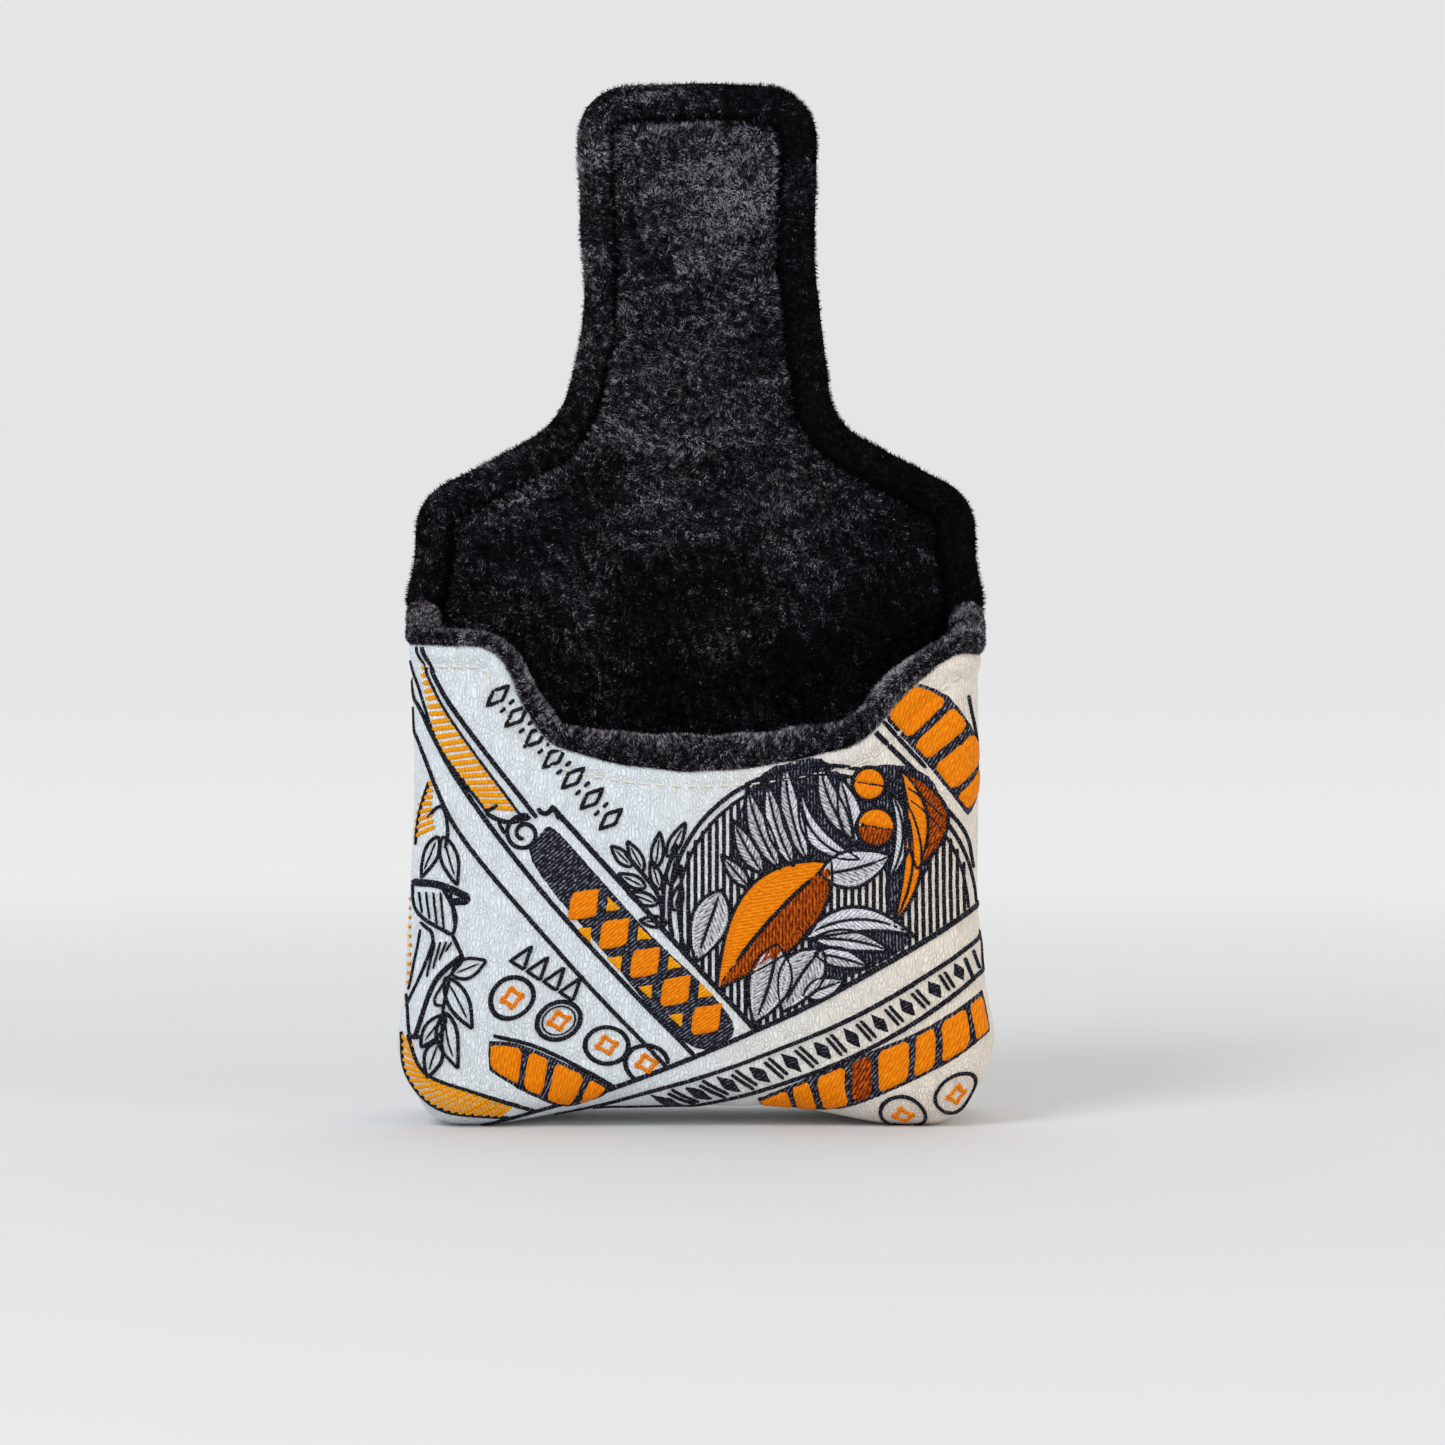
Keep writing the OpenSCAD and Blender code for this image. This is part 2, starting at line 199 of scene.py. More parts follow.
def back_outline():
    """Whole silhouette of back panel, lid and flap, anticlockwise from the base."""
    upper = cad_half_outline()
    upper = upper[upper[:, 1] > FOLD1 + 3]
    left = [[-(HALF_W - CORNER_R), 0], [HALF_W - CORNER_R, 0]]
    corner = arc(HALF_W - CORNER_R, CORNER_R, CORNER_R, -90, 0, 14)
    right = np.vstack([corner, upper])
    mirror = right[::-1] * [-1, 1]
    return np.vstack([left[1:], right, mirror[1:] if mirror[0][0] == 0 else mirror, left[:1]])


def edge_r(z):
    """Edge rounding of the back: the pocket's full edges thin to the lid's at the fold."""
    return EDGE_R + (LID_EDGE_R - EDGE_R) * smooth((np.asarray(z, float) - 97) / 12)


def inset_outline(path, amount):
    """Closed anticlockwise path moved inwards, amount a number or one value a point."""
    t = unit(np.roll(path, -1, 0) - np.roll(path, 1, 0))
    normal = np.column_stack([-t[:, 1], t[:, 0]])
    return path + normal * np.reshape(amount, (-1, 1))


BACK = resample(back_outline(), 1.2, closed=True)
BACK_CORE = inset_outline(BACK, edge_r(BACK[:, 1]))


def pocket_core():
    """Flat part of the front face; it runs on upwards past the mouth."""
    x, r = HALF_W - EDGE_R, CORNER_R - EDGE_R
    right = np.vstack([arc(x - r, EDGE_R + r, r, -90, 0, 12), [[x, 200]]])
    return mirrored(right)


FRONT_CORE = pocket_core()


def nearest(p, loop):
    """Signed distance (outside positive), foot and outward normal on a closed loop."""
    a, b = loop, np.roll(loop, -1, 0)
    ab = b - a
    sq = (ab**2).sum(1) + 1e-12
    dist, foot, inside = [], [], []
    for chunk in np.array_split(p, max(1, len(p) // 3000)):
        ap = chunk[:, None] - a[None]
        t = np.clip((ap * ab).sum(2) / sq, 0, 1)
        q = a + t[..., None] * ab
        d = np.linalg.norm(chunk[:, None] - q, axis=2)
        i = d.argmin(1)
        rows = np.arange(len(chunk))
        dist.append(d[rows, i])
        foot.append(q[rows, i])
        cross = (a[:, 1] > chunk[:, 1:]) != (b[:, 1] > chunk[:, 1:])
        with np.errstate(divide="ignore", invalid="ignore"):
            xs = ab[:, 0] * (chunk[:, 1:] - a[:, 1]) / ab[:, 1] + a[:, 0]
        inside.append(((cross & (chunk[:, :1] < xs)).sum(1) % 2) == 1)
    dist, foot, inside = np.concatenate(dist), np.vstack(foot), np.concatenate(inside)
    normal = (p - foot) / np.maximum(dist, 1e-9)[:, None]
    normal[inside] *= -1
    return np.where(inside, -dist, dist), foot, normal


def wrap(p, h, core, radius, face_y, side):
    """Pattern points p, raised by h, wrapped over the edges of core. side -1 is the front."""
    d, foot, n = nearest(p, core)
    out = d > 0
    foot = np.where(out[:, None], foot, p)
    n = np.where(out[:, None], n, 0)
    d = np.maximum(d, 0)
    r = radius(foot[:, 1]) if callable(radius) else np.full(len(p), radius)
    phi = np.minimum(d / r, math.pi / 2)
    run = np.maximum(d - r * math.pi / 2, 0)
    s, c = np.sin(phi), np.cos(phi)
    up = np.column_stack([n[:, 0] * s, side * c, n[:, 1] * s])
    flat = foot + n * (r * s)[:, None]
    pos = np.column_stack([flat[:, 0], face_y - side * (r * (1 - c) + run), flat[:, 1]])
    return pos + up * np.reshape(h, (-1, 1)), up


# ---- softness


def widen(z):
    """How far the sides stand out: full above the base, drawn in over it, wide at the lid."""
    foot = 0.4 * (1 - smooth(z / 6)) - 0.7 * bump(z, 6.5, 3) + 2.2 * bump(z, 19, 8)
    waist = smooth((z - 28) / 30) * (1 - smooth((z - 96) / 12))
    return foot - 1.4 * waist + 1.9 * bump(z, 112.5, 6.5)


def arch(x, z):
    """How far the underside lifts between the two corners it stands on."""
    rise = 4.3 * (1 - smooth((np.abs(x + 1) - 16) / 30))
    return rise * (1 - smooth(z / 42))


def tilt(x, z):
    """The mouth sits a little lower at its right-hand corner."""
    return 1.1 * (x / HALF_W) * smooth((z - 60) / 40) * (1 - smooth((z - 103) / 12))


def soften(p):
    """Gives points of the boxy pocket the slack of a padded bag."""
    x, y, z = p.T
    q = p.copy()
    q[:, 0] += widen(z) * x / HALF_W
    q[:, 2] += arch(x, z)
    q[:, 2] -= tilt(x, z)
    low = 1 - smooth((z - 92) / 16)
    depth = y / BACK_Y
    wave = 0.5 * np.sin(x / 13 + z / 21) * np.sin(z / 17 + 0.8) - 0.35 * bump(z, 56, 18)
    full = 1.3 * bump(np.abs(x), 47, 13) * bump(z, 23, 15)
    away = smooth((np.abs(x) - 29) / 14)
    q[:, 1] += depth * low * (wave * away - 0.25 + full * away)
    q[:, 0] += 0.35 * np.sin(z / 9 + y / 14) * low * smooth((np.abs(x) - 40) / 20)
    drawn_in = 3.0 * bump(z, 174, 19) + 0.9 * smooth((z - 190) / 14) + 0.8 * bump(z, 143, 6)
    q[:, 0] += drawn_in * smooth((-x - 6) / 22)
    return q


# ---- meshes


def new_mesh(name, verts, faces, mats, index=None, uv=None, shade=True):
    """verts in mm. uv has one row a vertex. index gives each face its material."""
    me = bpy.data.meshes.new(name)
    me.from_pydata((np.asarray(verts) * MM).tolist(), [], [list(map(int, f)) for f in faces])
    for m in mats:
        me.materials.append(m)
    if index is not None:
        me.polygons.foreach_set("material_index", np.asarray(index, np.int32))
    me.polygons.foreach_set("use_smooth", np.full(len(me.polygons), shade))
    if uv is not None:
        layer = me.uv_layers.new(name="thread")
        loops = np.empty(len(me.loops), np.int32)
        me.loops.foreach_get("vertex_index", loops)
        layer.data.foreach_set("uv", np.asarray(uv, np.float32)[loops].ravel())
    me.update()
    ob = bpy.data.objects.new(name, me)
    bpy.context.scene.collection.objects.link(ob)
    return ob


def inside_points(loop, step, margin):
    """Staggered grid inside a closed loop, kept margin away from it."""
    lo, hi = loop.min(0), loop.max(0)
    rows = []
    for i, z in enumerate(np.arange(lo[1], hi[1], step * 0.87)):
        xs = np.arange(lo[0] + (i % 2) * step / 2, hi[0], step)
        rows.append(np.column_stack([xs, np.full(len(xs), z)]))
    grid = np.vstack(rows)
    return grid[nearest(grid, loop)[0] < -margin]


def triangulate(loop, step, rings=(0.5,)):
    """Triangles over a closed anticlockwise loop: its points, inset rings and a grid."""
    inner = [inset_outline(loop, r)[:: max(1, k + 1)] for k, r in enumerate(rings)]
    inner = [q[nearest(q, loop)[0] < -0.6 * r] for q, r in zip(inner, rings)]
    body = inside_points(loop, step, (max(rings) if rings else 0) + 0.45 * step)
    pts = np.vstack([loop] + inner + [body])
    vecs = [Vector(q) for q in pts.tolist()]
    v, _, f, *_ = delaunay_2d_cdt(vecs, [], [list(range(len(loop)))], 1, 1e-4)
    return np.array([tuple(q) for q in v]), [tuple(t) for t in f]


def grid_faces(rows, cols, wrap_cols=False, flip=False):
    """Four-sided faces over a grid of points stored row by row."""
    faces = []
    last = cols if wrap_cols else cols - 1
    for i in range(rows - 1):
        for j in range(last):
            k = (j + 1) % cols
            q = (i * cols + j, i * cols + k, (i + 1) * cols + k, (i + 1) * cols + j)
            faces.append(q[::-1] if flip else q)
    return faces


def halves(quads):
    """Each four-sided face as two triangles."""
    return [t for q in quads for t in (q[:3], (q[0], q[2], q[3]))]


# ---- materials


def principled(m):
    return next(n for n in m.node_tree.nodes if n.type == "BSDF_PRINCIPLED")


def material(name, colour, rough, bump_from=None, tint=None, **plain):
    """A Principled material. bump_from and tint build node trees and return sockets."""
    m = bpy.data.materials.new(name)
    m.use_nodes = True
    nt = m.node_tree
    shader = principled(m)
    shader.inputs["Base Color"].default_value = (*colour, 1)
    shader.inputs["Roughness"].default_value = rough
    for key, value in plain.items():
        shader.inputs[key.replace("_", " ")].default_value = value
    if tint:
        nt.links.new(tint(nt), shader.inputs["Base Color"])
    if bump_from:
        height, strength, distance = bump_from(nt)
        node = nt.nodes.new("ShaderNodeBump")
        node.inputs["Strength"].default_value = strength
        node.inputs["Distance"].default_value = distance
        nt.links.new(height, node.inputs["Height"])
        nt.links.new(node.outputs["Normal"], shader.inputs["Normal"])
    return m


def add(nt, kind, **values):
    """A new node. A value goes to the input of that name, or else to the property."""
    node = nt.nodes.new(kind)
    for key, value in values.items():
        if key in node.inputs:
            node.inputs[key].default_value = value
        else:
            setattr(node, key, value)
    return node


def stretched(nt, sx, sy, sz, coords=None):
    """Coordinates, the object's own if none are given, scaled along each axis."""
    scale = add(nt, "ShaderNodeMapping")
    scale.inputs["Scale"].default_value = (sx, sy, sz)
    coords = coords or add(nt, "ShaderNodeTexCoord").outputs["Object"]
    nt.links.new(coords, scale.inputs["Vector"])
    return scale.outputs["Vector"]


def grain(nt, coords, scale, detail, rough=0.5):
    """A noise texture on the given coordinates."""
    node = add(nt, "ShaderNodeTexNoise", Scale=scale, Detail=detail, Roughness=rough)
    nt.links.new(coords, node.inputs["Vector"])
    return node.outputs


def thread_map(nt):
    """The embroidery's own coordinates: first across its threads, then along them."""
    return add(nt, "ShaderNodeUVMap", uv_map="thread").outputs["UV"]


def maths(nt, op, a, b):
    """A Math node on two sockets or numbers."""
    node = add(nt, "ShaderNodeMath", operation=op)
    for i, v in enumerate((a, b)):
        if isinstance(v, (int, float)):
            node.inputs[i].default_value = v
        else:
            nt.links.new(v, node.inputs[i])
    return node.outputs[0]


def blend_colours(nt, factor, low, high, lo=0.35, hi=0.65):
    ramp = add(nt, "ShaderNodeValToRGB")
    for element, place, colour in zip(ramp.color_ramp.elements, (lo, hi), (low, high)):
        element.position = place
        element.color = (*colour, 1)
    nt.links.new(factor, ramp.inputs["Fac"])
    return ramp.outputs["Color"]


def leather_wrinkles(nt):
    """Fine wrinkles, longer than they are wide: 0 in a crease, 1 between creases."""
    bend = grain(nt, stretched(nt, 300, 300, 200), 1.0, 1.0)
    place = add(nt, "ShaderNodeVectorMath", operation="ADD")
    nt.links.new(stretched(nt, 1500, 1500, 560), place.inputs[0])
    shift = add(nt, "ShaderNodeVectorMath", operation="SCALE")
    shift.inputs["Scale"].default_value = 3.0
    nt.links.new(bend["Color"], shift.inputs[0])
    nt.links.new(shift.outputs[0], place.inputs[1])
    cells = add(nt, "ShaderNodeTexVoronoi", feature="DISTANCE_TO_EDGE", Scale=1.0)
    nt.links.new(place.outputs[0], cells.inputs["Vector"])
    wrinkle = add(nt, "ShaderNodeMapRange")
    wrinkle.inputs["From Max"].default_value = 0.26
    nt.links.new(cells.outputs["Distance"], wrinkle.inputs["Value"])
    return wrinkle.outputs["Result"]


def leather_grain(nt):
    """Bump of the leather: its wrinkles and a finer grain. Returns height, strength, depth."""
    fine = grain(nt, stretched(nt, 900, 900, 500), 1.0, 3.0)
    return maths(nt, "ADD", leather_wrinkles(nt), fine[0]), 0.75, 0.00032


def leather_colour_and_painted_light(nt):
    """Painted light on white leather: cool white on the left, warm ivory round the right-hand side,
    and painted shade that makes the creases greyer.
    """
    coords = add(nt, "ShaderNodeTexCoord")
    split = add(nt, "ShaderNodeSeparateXYZ")
    nt.links.new(coords.outputs["Object"], split.inputs[0])
    # Painted light: the colour runs from cool white on the left to ivory round the right-hand side
    ramp = maths(nt, "ADD", maths(nt, "MULTIPLY", split.outputs["X"], 9.0), 0.5)
    cool_warm_painted_light = blend_colours(nt, ramp, (0.82, 0.89, 0.93), (0.90, 0.81, 0.70), 0.42, 0.95)
    mix = add(nt, "ShaderNodeMix", data_type="RGBA", blend_type="MULTIPLY")
    mix.inputs[0].default_value = 1.0
    nt.links.new(cool_warm_painted_light, mix.inputs[6])
    # Painted shade: the colour greys in the wrinkles' creases, where shade would fall
    grey = blend_colours(nt, leather_wrinkles(nt), (0.88, 0.885, 0.90), (1, 1, 1), 0.0, 0.8)
    nt.links.new(grey, mix.inputs[7])
    return mix.outputs[2]


def thread_ridges(nt, period, stagger):
    """Parallel threads, a period apart."""
    coords = thread_map(nt)
    split = add(nt, "ShaderNodeSeparateXYZ")
    nt.links.new(coords, split.inputs[0])
    wobble = maths(nt, "MULTIPLY", grain(nt, coords, 1.2, 2.0)[0], 0.6)
    u = maths(nt, "ADD", split.outputs["X"], wobble)
    ridge = maths(nt, "SINE", maths(nt, "MULTIPLY", u, 2 * math.pi / period), 0)
    if stagger:
        lane = maths(nt, "FLOOR", maths(nt, "DIVIDE", u, period), 0)
        v = maths(nt, "ADD", split.outputs["Y"], maths(nt, "MULTIPLY", lane, 1.37))
        dip = maths(nt, "SINE", maths(nt, "MULTIPLY", v, 2 * math.pi / stagger), 0)
        ridge = maths(nt, "ADD", ridge, maths(nt, "MULTIPLY", dip, 0.6))
    return ridge


def thread_bump(period, stagger):
    """Bump of embroidered thread: its ridges with a little fuzz."""

    def build(nt):
        fuzz = grain(nt, thread_map(nt), 4.0, 2.0)
        return maths(nt, "ADD", thread_ridges(nt, period, stagger), fuzz[0]), 0.7, 0.00014

    return build


def thread_tint(low, high, lo, hi, period, stagger):
    """Painted highlights: threads are mostly low, with flecks of high where they catch the light in
    short dashes, and painted shade a little darker between their ridges.
    """

    def build(nt):
        fleck = grain(nt, stretched(nt, 1.9, 0.8, 1, thread_map(nt)), 1.0, 3.0, 0.75)
        ridge = maths(nt, "MULTIPLY", thread_ridges(nt, period, stagger), 0.1)
        return blend_colours(nt, maths(nt, "ADD", fleck[0], ridge), low, high, lo, hi)

    return build


def thread(name, low, high, lo=0.38, hi=0.66, shine=0.2, stagger=0.0):
    """Embroidery thread between two shades. stagger breaks its ridges into stitches."""
    period = 0.72
    mean = [(a + b) / 2 for a, b in zip(low, high)]
    return material(name, mean, 0.5, thread_bump(period, stagger),
                    thread_tint(low, high, lo, hi, period, stagger), Specular_IOR_Level=shine)


LEATHER = material("white_leather", (0.78, 0.81, 0.83), 0.45, leather_grain, leather_colour_and_painted_light,
                   Specular_IOR_Level=0.35)
# Each thread's high shade is a painted highlight of its gloss; the silver, lilac and rust threads
# also have low shades darker than their own colour, painted shade between stitches
THREAD = {
    "navy": thread("navy_thread", (0.004, 0.004, 0.010), (0.34, 0.37, 0.50), 0.54, 0.76, 0.12),
    "ink": thread("outline_thread", (0.003, 0.003, 0.007), (0.20, 0.22, 0.32), 0.56, 0.82, 0.12),
    "orange": thread("orange_thread", (0.84, 0.17, 0.0), (1.0, 0.33, 0.0), shine=0.1,
                     stagger=3.2),
    "gold": thread("gold_thread", (0.84, 0.26, 0.0), (1.0, 0.50, 0.01), shine=0.1),
    "rust": thread("rust_thread", (0.10, 0.008, 0.0), (0.90, 0.17, 0.0), 0.40, 0.80, 0.1,
                   stagger=3.2),
    "silver": thread("silver_thread", (0.08, 0.085, 0.095), (0.92, 0.94, 0.98), 0.30, 0.74, 0.3,
                     stagger=3.2),
    "lilac": thread("lilac_thread", (0.20, 0.22, 0.36), (1.0, 1.0, 1.0), 0.28, 0.66, 0.3),
    "cream": thread("cream_thread", (0.74, 0.70, 0.60), (0.86, 0.83, 0.74)),
}


def plush_tint(nt):
    fleck = grain(nt, stretched(nt, 1, 1, 1), 900.0, 3.0)
    return blend_colours(nt, fleck[0], (0.0015, 0.0015, 0.002), (0.010, 0.010, 0.013))


def plush_nap(nt):
    return grain(nt, stretched(nt, 1, 1, 1), 1400.0, 2.0)[0], 0.8, 0.0003


PLUSH = material("black_plush", (0.006, 0.006, 0.008), 0.95, plush_nap, plush_tint,
                 Specular_IOR_Level=0.1)
# Strands in five shades of the black plush: black and dark are the plush's own tones, while the
# blue, grey and light strands are painted sheen and painted highlights on its fibres
STRANDS = [
    material("strand_black", (0.002, 0.002, 0.003), 0.8, Specular_IOR_Level=0.1),
    material("strand_dark", (0.018, 0.016, 0.022), 0.7, Specular_IOR_Level=0.2),
    material("strand_blue_painted_sheen", (0.085, 0.083, 0.125), 0.6, Specular_IOR_Level=0.3),
    material("strand_grey_painted_sheen", (0.135, 0.120, 0.140), 0.6, Specular_IOR_Level=0.3),
    material("strand_painted_highlight", (0.50, 0.47, 0.53), 0.5, Specular_IOR_Level=0.5),
]

STRAND_LEAN, STRAND_WIDTH = 0.9, 0.26
SHADE_STEPS = (-0.2, 0.75, 1.3, 1.95)               # tones that divide the strands' shades

# ---- pile


def pile(verts, faces, density, length, key, weight=None, tone=0.0):
    """Seeded strands over triangles: roots by area, a nap that wanders, five shades.

    weight scales how many grow on each face, and tone, one value or one a vertex, is painted light
    and shade that says how light they are. Returns vertices, triangles and shades.
    """
    tris = np.array(faces)
    a, b, c = verts[tris[:, 0]], verts[tris[:, 1]], verts[tris[:, 2]]
    cross = np.cross(b - a, c - a)
    area = np.linalg.norm(cross, axis=1) / 2
    normal = cross / np.maximum(np.linalg.norm(cross, axis=1), 1e-9)[:, None]
    share = area * (weight(a) if weight else 1)
    draw = np.random.default_rng(hash_of(key))
    n = int(share.sum() * density)
    pick = draw.choice(len(tris), n, p=share / share.sum())
    u, v = draw.random(n), draw.random(n)
    over = u + v > 1
    u[over], v[over] = 1 - u[over], 1 - v[over]
    root = a[pick] + (b - a)[pick] * u[:, None] + (c - a)[pick] * v[:, None]
    up = normal[pick]
    angle = 2.6 * noise(root, 26, key + "dir") + 0.7 * noise(root, 5, key + "fine") - 1.57
    side = np.cross(up, np.tile([0.0, 0.03, 1.0], (n, 1)))
    flat = np.linalg.norm(side, axis=1) < 0.2
    side[flat] = np.cross(up[flat], [1.0, 0.0, 0.0])
    side = unit(side)
    fore = np.cross(side, up)
    nap = side * np.cos(angle)[:, None] + fore * np.sin(angle)[:, None]
    way = up + nap * (STRAND_LEAN * draw.uniform(0.5, 1.5, n))[:, None]
    way = unit(way + draw.normal(scale=0.34, size=(n, 3)))
    deep = (way * up).sum(1) < 0.12
    way[deep] += up[deep] * 0.5
    way = unit(way)
    long = length * draw.uniform(0.65, 1.15, n)
    across = np.cross(way, draw.normal(size=(n, 3)))
    across /= np.maximum(np.linalg.norm(across, axis=1), 1e-6)[:, None]
    half = across * (STRAND_WIDTH / 2 * draw.uniform(0.7, 1.3, n))[:, None]
    tip = root + way * long[:, None]
    root = root - up * 0.15
    out = np.stack([root - half, root + half, tip], 1).reshape(-1, 3)
    tone = np.broadcast_to(np.asarray(tone, float), len(verts))[tris[pick, 0]]
    # lit is the random tone of the nap plus tone, the painted light and shade
    lit = (0.4 * noise(root, 16, "patch") + 0.2 * noise(root, 4.5, key + "mottle", 24)
           + 0.65 * noise(root, 1.0, key + "clump", 24) + draw.normal(scale=0.8, size=n) + tone)
    shade = np.digitize(lit, SHADE_STEPS)
    swap = (shade == 2) & (noise(root, 30, key + "hue") > 0.1)
    shade[swap] = 3
    return out, np.arange(3 * n).reshape(-1, 3), shade


def plush_piece(name, verts, faces, **how):
    """A plush surface with its pile in one mesh. Its own skin is material 0."""
    verts = np.asarray(verts, float)
    pv, pf, shade = pile(verts, faces, key=name, **how)
    all_faces = [tuple(f) for f in faces] + (pf + len(verts)).tolist()
    index = np.concatenate([np.zeros(len(faces), int), shade + 1])
    return new_mesh(name, np.vstack([verts, pv]), all_faces, [PLUSH] + STRANDS, index)


QUALITY = 1.0               # share of the strands that are made

# ---- front panel

SEAM_D = EDGE_R * math.pi / 2 + (-SEAM_Y - (FRONT_Y + EDGE_R))   # core to seam, on the pattern
PATTERN_X = HALF_W - EDGE_R + SEAM_D


def stitch_drop(x):
    """How far the rim's topstitch runs below the leather's edge."""
    return 3.4 + 1.5 * smooth(np.abs(np.asarray(x, float)) / 48)


def rim_line(x, drop=0.0):
    """Points of the scooped edge on the pattern, moved down by drop along its normal."""
    x = np.asarray(x, float)
    slope = (scoop_z(x + 0.05) - scoop_z(x - 0.05)) / 0.1
    n = unit(np.column_stack([-slope, np.ones(len(x))]))
    return np.column_stack([x, scoop_z(x)]) - n * np.reshape(drop, (-1, 1))


RIM = rim_line(np.linspace(-PATTERN_X, PATTERN_X, 160))
stitch_x = np.linspace(-PATTERN_X + 6, PATTERN_X - 6, 160)
STITCH = rim_line(stitch_x, stitch_drop(stitch_x))


def line_distance(p, line):
    """Distance of each point to an open line."""
    out = []
    a, b = line[:-1], line[1:]
    ab = b - a
    for chunk in np.array_split(p, max(1, len(p) // 3000)):
        t = np.clip(((chunk[:, None] - a) * ab).sum(2) / (ab**2).sum(1), 0, 1)
        out.append(np.linalg.norm(chunk[:, None] - (a + t[..., None] * ab), axis=2).min(1))
    return np.concatenate(out)


def front_height(p):
    """Relief of the padded front: quilted rim, stitch groove, puckers, tucked seams."""
    rim = line_distance(p, RIM)
    stitch = line_distance(p, STITCH)
    d = np.maximum(nearest(p, FRONT_CORE)[0], 0)
    h = -0.75 * bump(stitch, 0, 0.9) - 1.3 * np.clip(1 - rim / 1.6, 0, 1) ** 2
    h += 0.3 * bump(rim, 2.3, 1.2) - 0.9 * smooth((d - SEAM_D + 1.8) / 1.8) ** 2
    slack = 0.12 * noise(p, 17, "slack") + 0.05 * noise(p, 6, "small slack")
    for cx, cz, size, turn in ((-48.5, 99.5, 5.5, 0.4), (50, 98, 4.5, 2.2), (20, 74.5, 4, 1.0)):
        r = p - [cx, cz]
        along = r[:, 0] * math.cos(turn) + r[:, 1] * math.sin(turn)
        slack += 0.3 * np.sin(along * 2.1 + 0.6 * r[:, 1]) * np.exp(-(r**2).sum(1) / size**2)
    return h + slack


def on_front(p, h):
    """Pattern points to the finished pocket, h above the leather."""
    pos, _ = wrap(p, front_height(p) + h, FRONT_CORE, EDGE_R, FRONT_Y, -1)
    return soften(pos)


def front_loop():
    """Pattern outline of the front leather."""
    r = CORNER_R - EDGE_R + SEAM_D
    cx = HALF_W - CORNER_R
    right = np.vstack([arc(cx, CORNER_R, r, -90, 0, 20), [[PATTERN_X, CORNER_Z]]])
    sides = np.vstack([right, RIM[::-1][1:-1], right[::-1] * [-1, 1]])
    return resample(sides, 1.1, closed=True)


def build_front():
    v, f = triangulate(front_loop(), 1.35, rings=(0.45, 1.0))
    ob = new_mesh("front_panel", on_front(v, 0.0), f, [LEATHER])
    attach(ob, "pocket")
    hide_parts("front_leather", "front_foam")


# ---- embroidery


def numbers(text):
    """Points written as "x,z x,z ...", as an array."""
    return np.array([[float(n) for n in pair.split(",")] for pair in text.split()])


def to_pattern(p):
    """Points as seen from the front, in mm, to the flat pattern under the softening."""
    p = np.asarray(p, float).copy()
    p[:, 0] /= 1 + widen(p[:, 1]) / HALF_W
    p[:, 1] += tilt(p[:, 0], p[:, 1]) - arch(p[:, 0], p[:, 1])
    d, foot, n = nearest(p, FRONT_CORE)
    over = d > 0
    reach = EDGE_R * np.arcsin(np.clip(d / EDGE_R, 0, 0.985))
    p[over] = foot[over] + n[over] * reach[over][:, None]
    return p


def curve(path, step=0.6):
    """A smooth line through a few points, as evenly spaced points."""
    if len(path) < 3:
        return resample(path, step)
    p = np.vstack([2 * path[0] - path[1], path, 2 * path[-1] - path[-2]])
    t = np.linspace(0, 1, 12, endpoint=False)[:, None]
    parts = []
    for a, b, c, d in zip(p, p[1:], p[2:], p[3:]):
        bend = (2 * a - 5 * b + 4 * c - d) * t ** 2 + (3 * b - a - 3 * c + d) * t ** 3
        parts.append((2 * b + (c - a) * t + bend) / 2)
    return resample(np.vstack(parts + [path[-1:]]), step)


def extend(path, start, end):
    """A path made longer at its two ends, straight on."""
    if start:
        way = path[0] - path[1]
        path = np.vstack([path[0] + way / np.linalg.norm(way) * start, path])
    if end:
        way = path[-1] - path[-2]
        path = np.vstack([path, path[-1] + way / np.linalg.norm(way) * end])
    return path


def blade(base, tip, width, bend=0.0):
    """Left edge, midrib and right edge of a leaf that may bend to its left."""
    base, along = np.array(base, float), np.subtract(tip, base)
    over = np.array([-along[1], along[0]]) / np.linalg.norm(along)
    t = np.linspace(0, 1, 15)[:, None]
    mid = base + along * t + over * bend * 4 * t * (1 - t)
    half = over * width / 2 * np.sin(math.pi * t**0.8)
    return mid + half, mid, mid - half


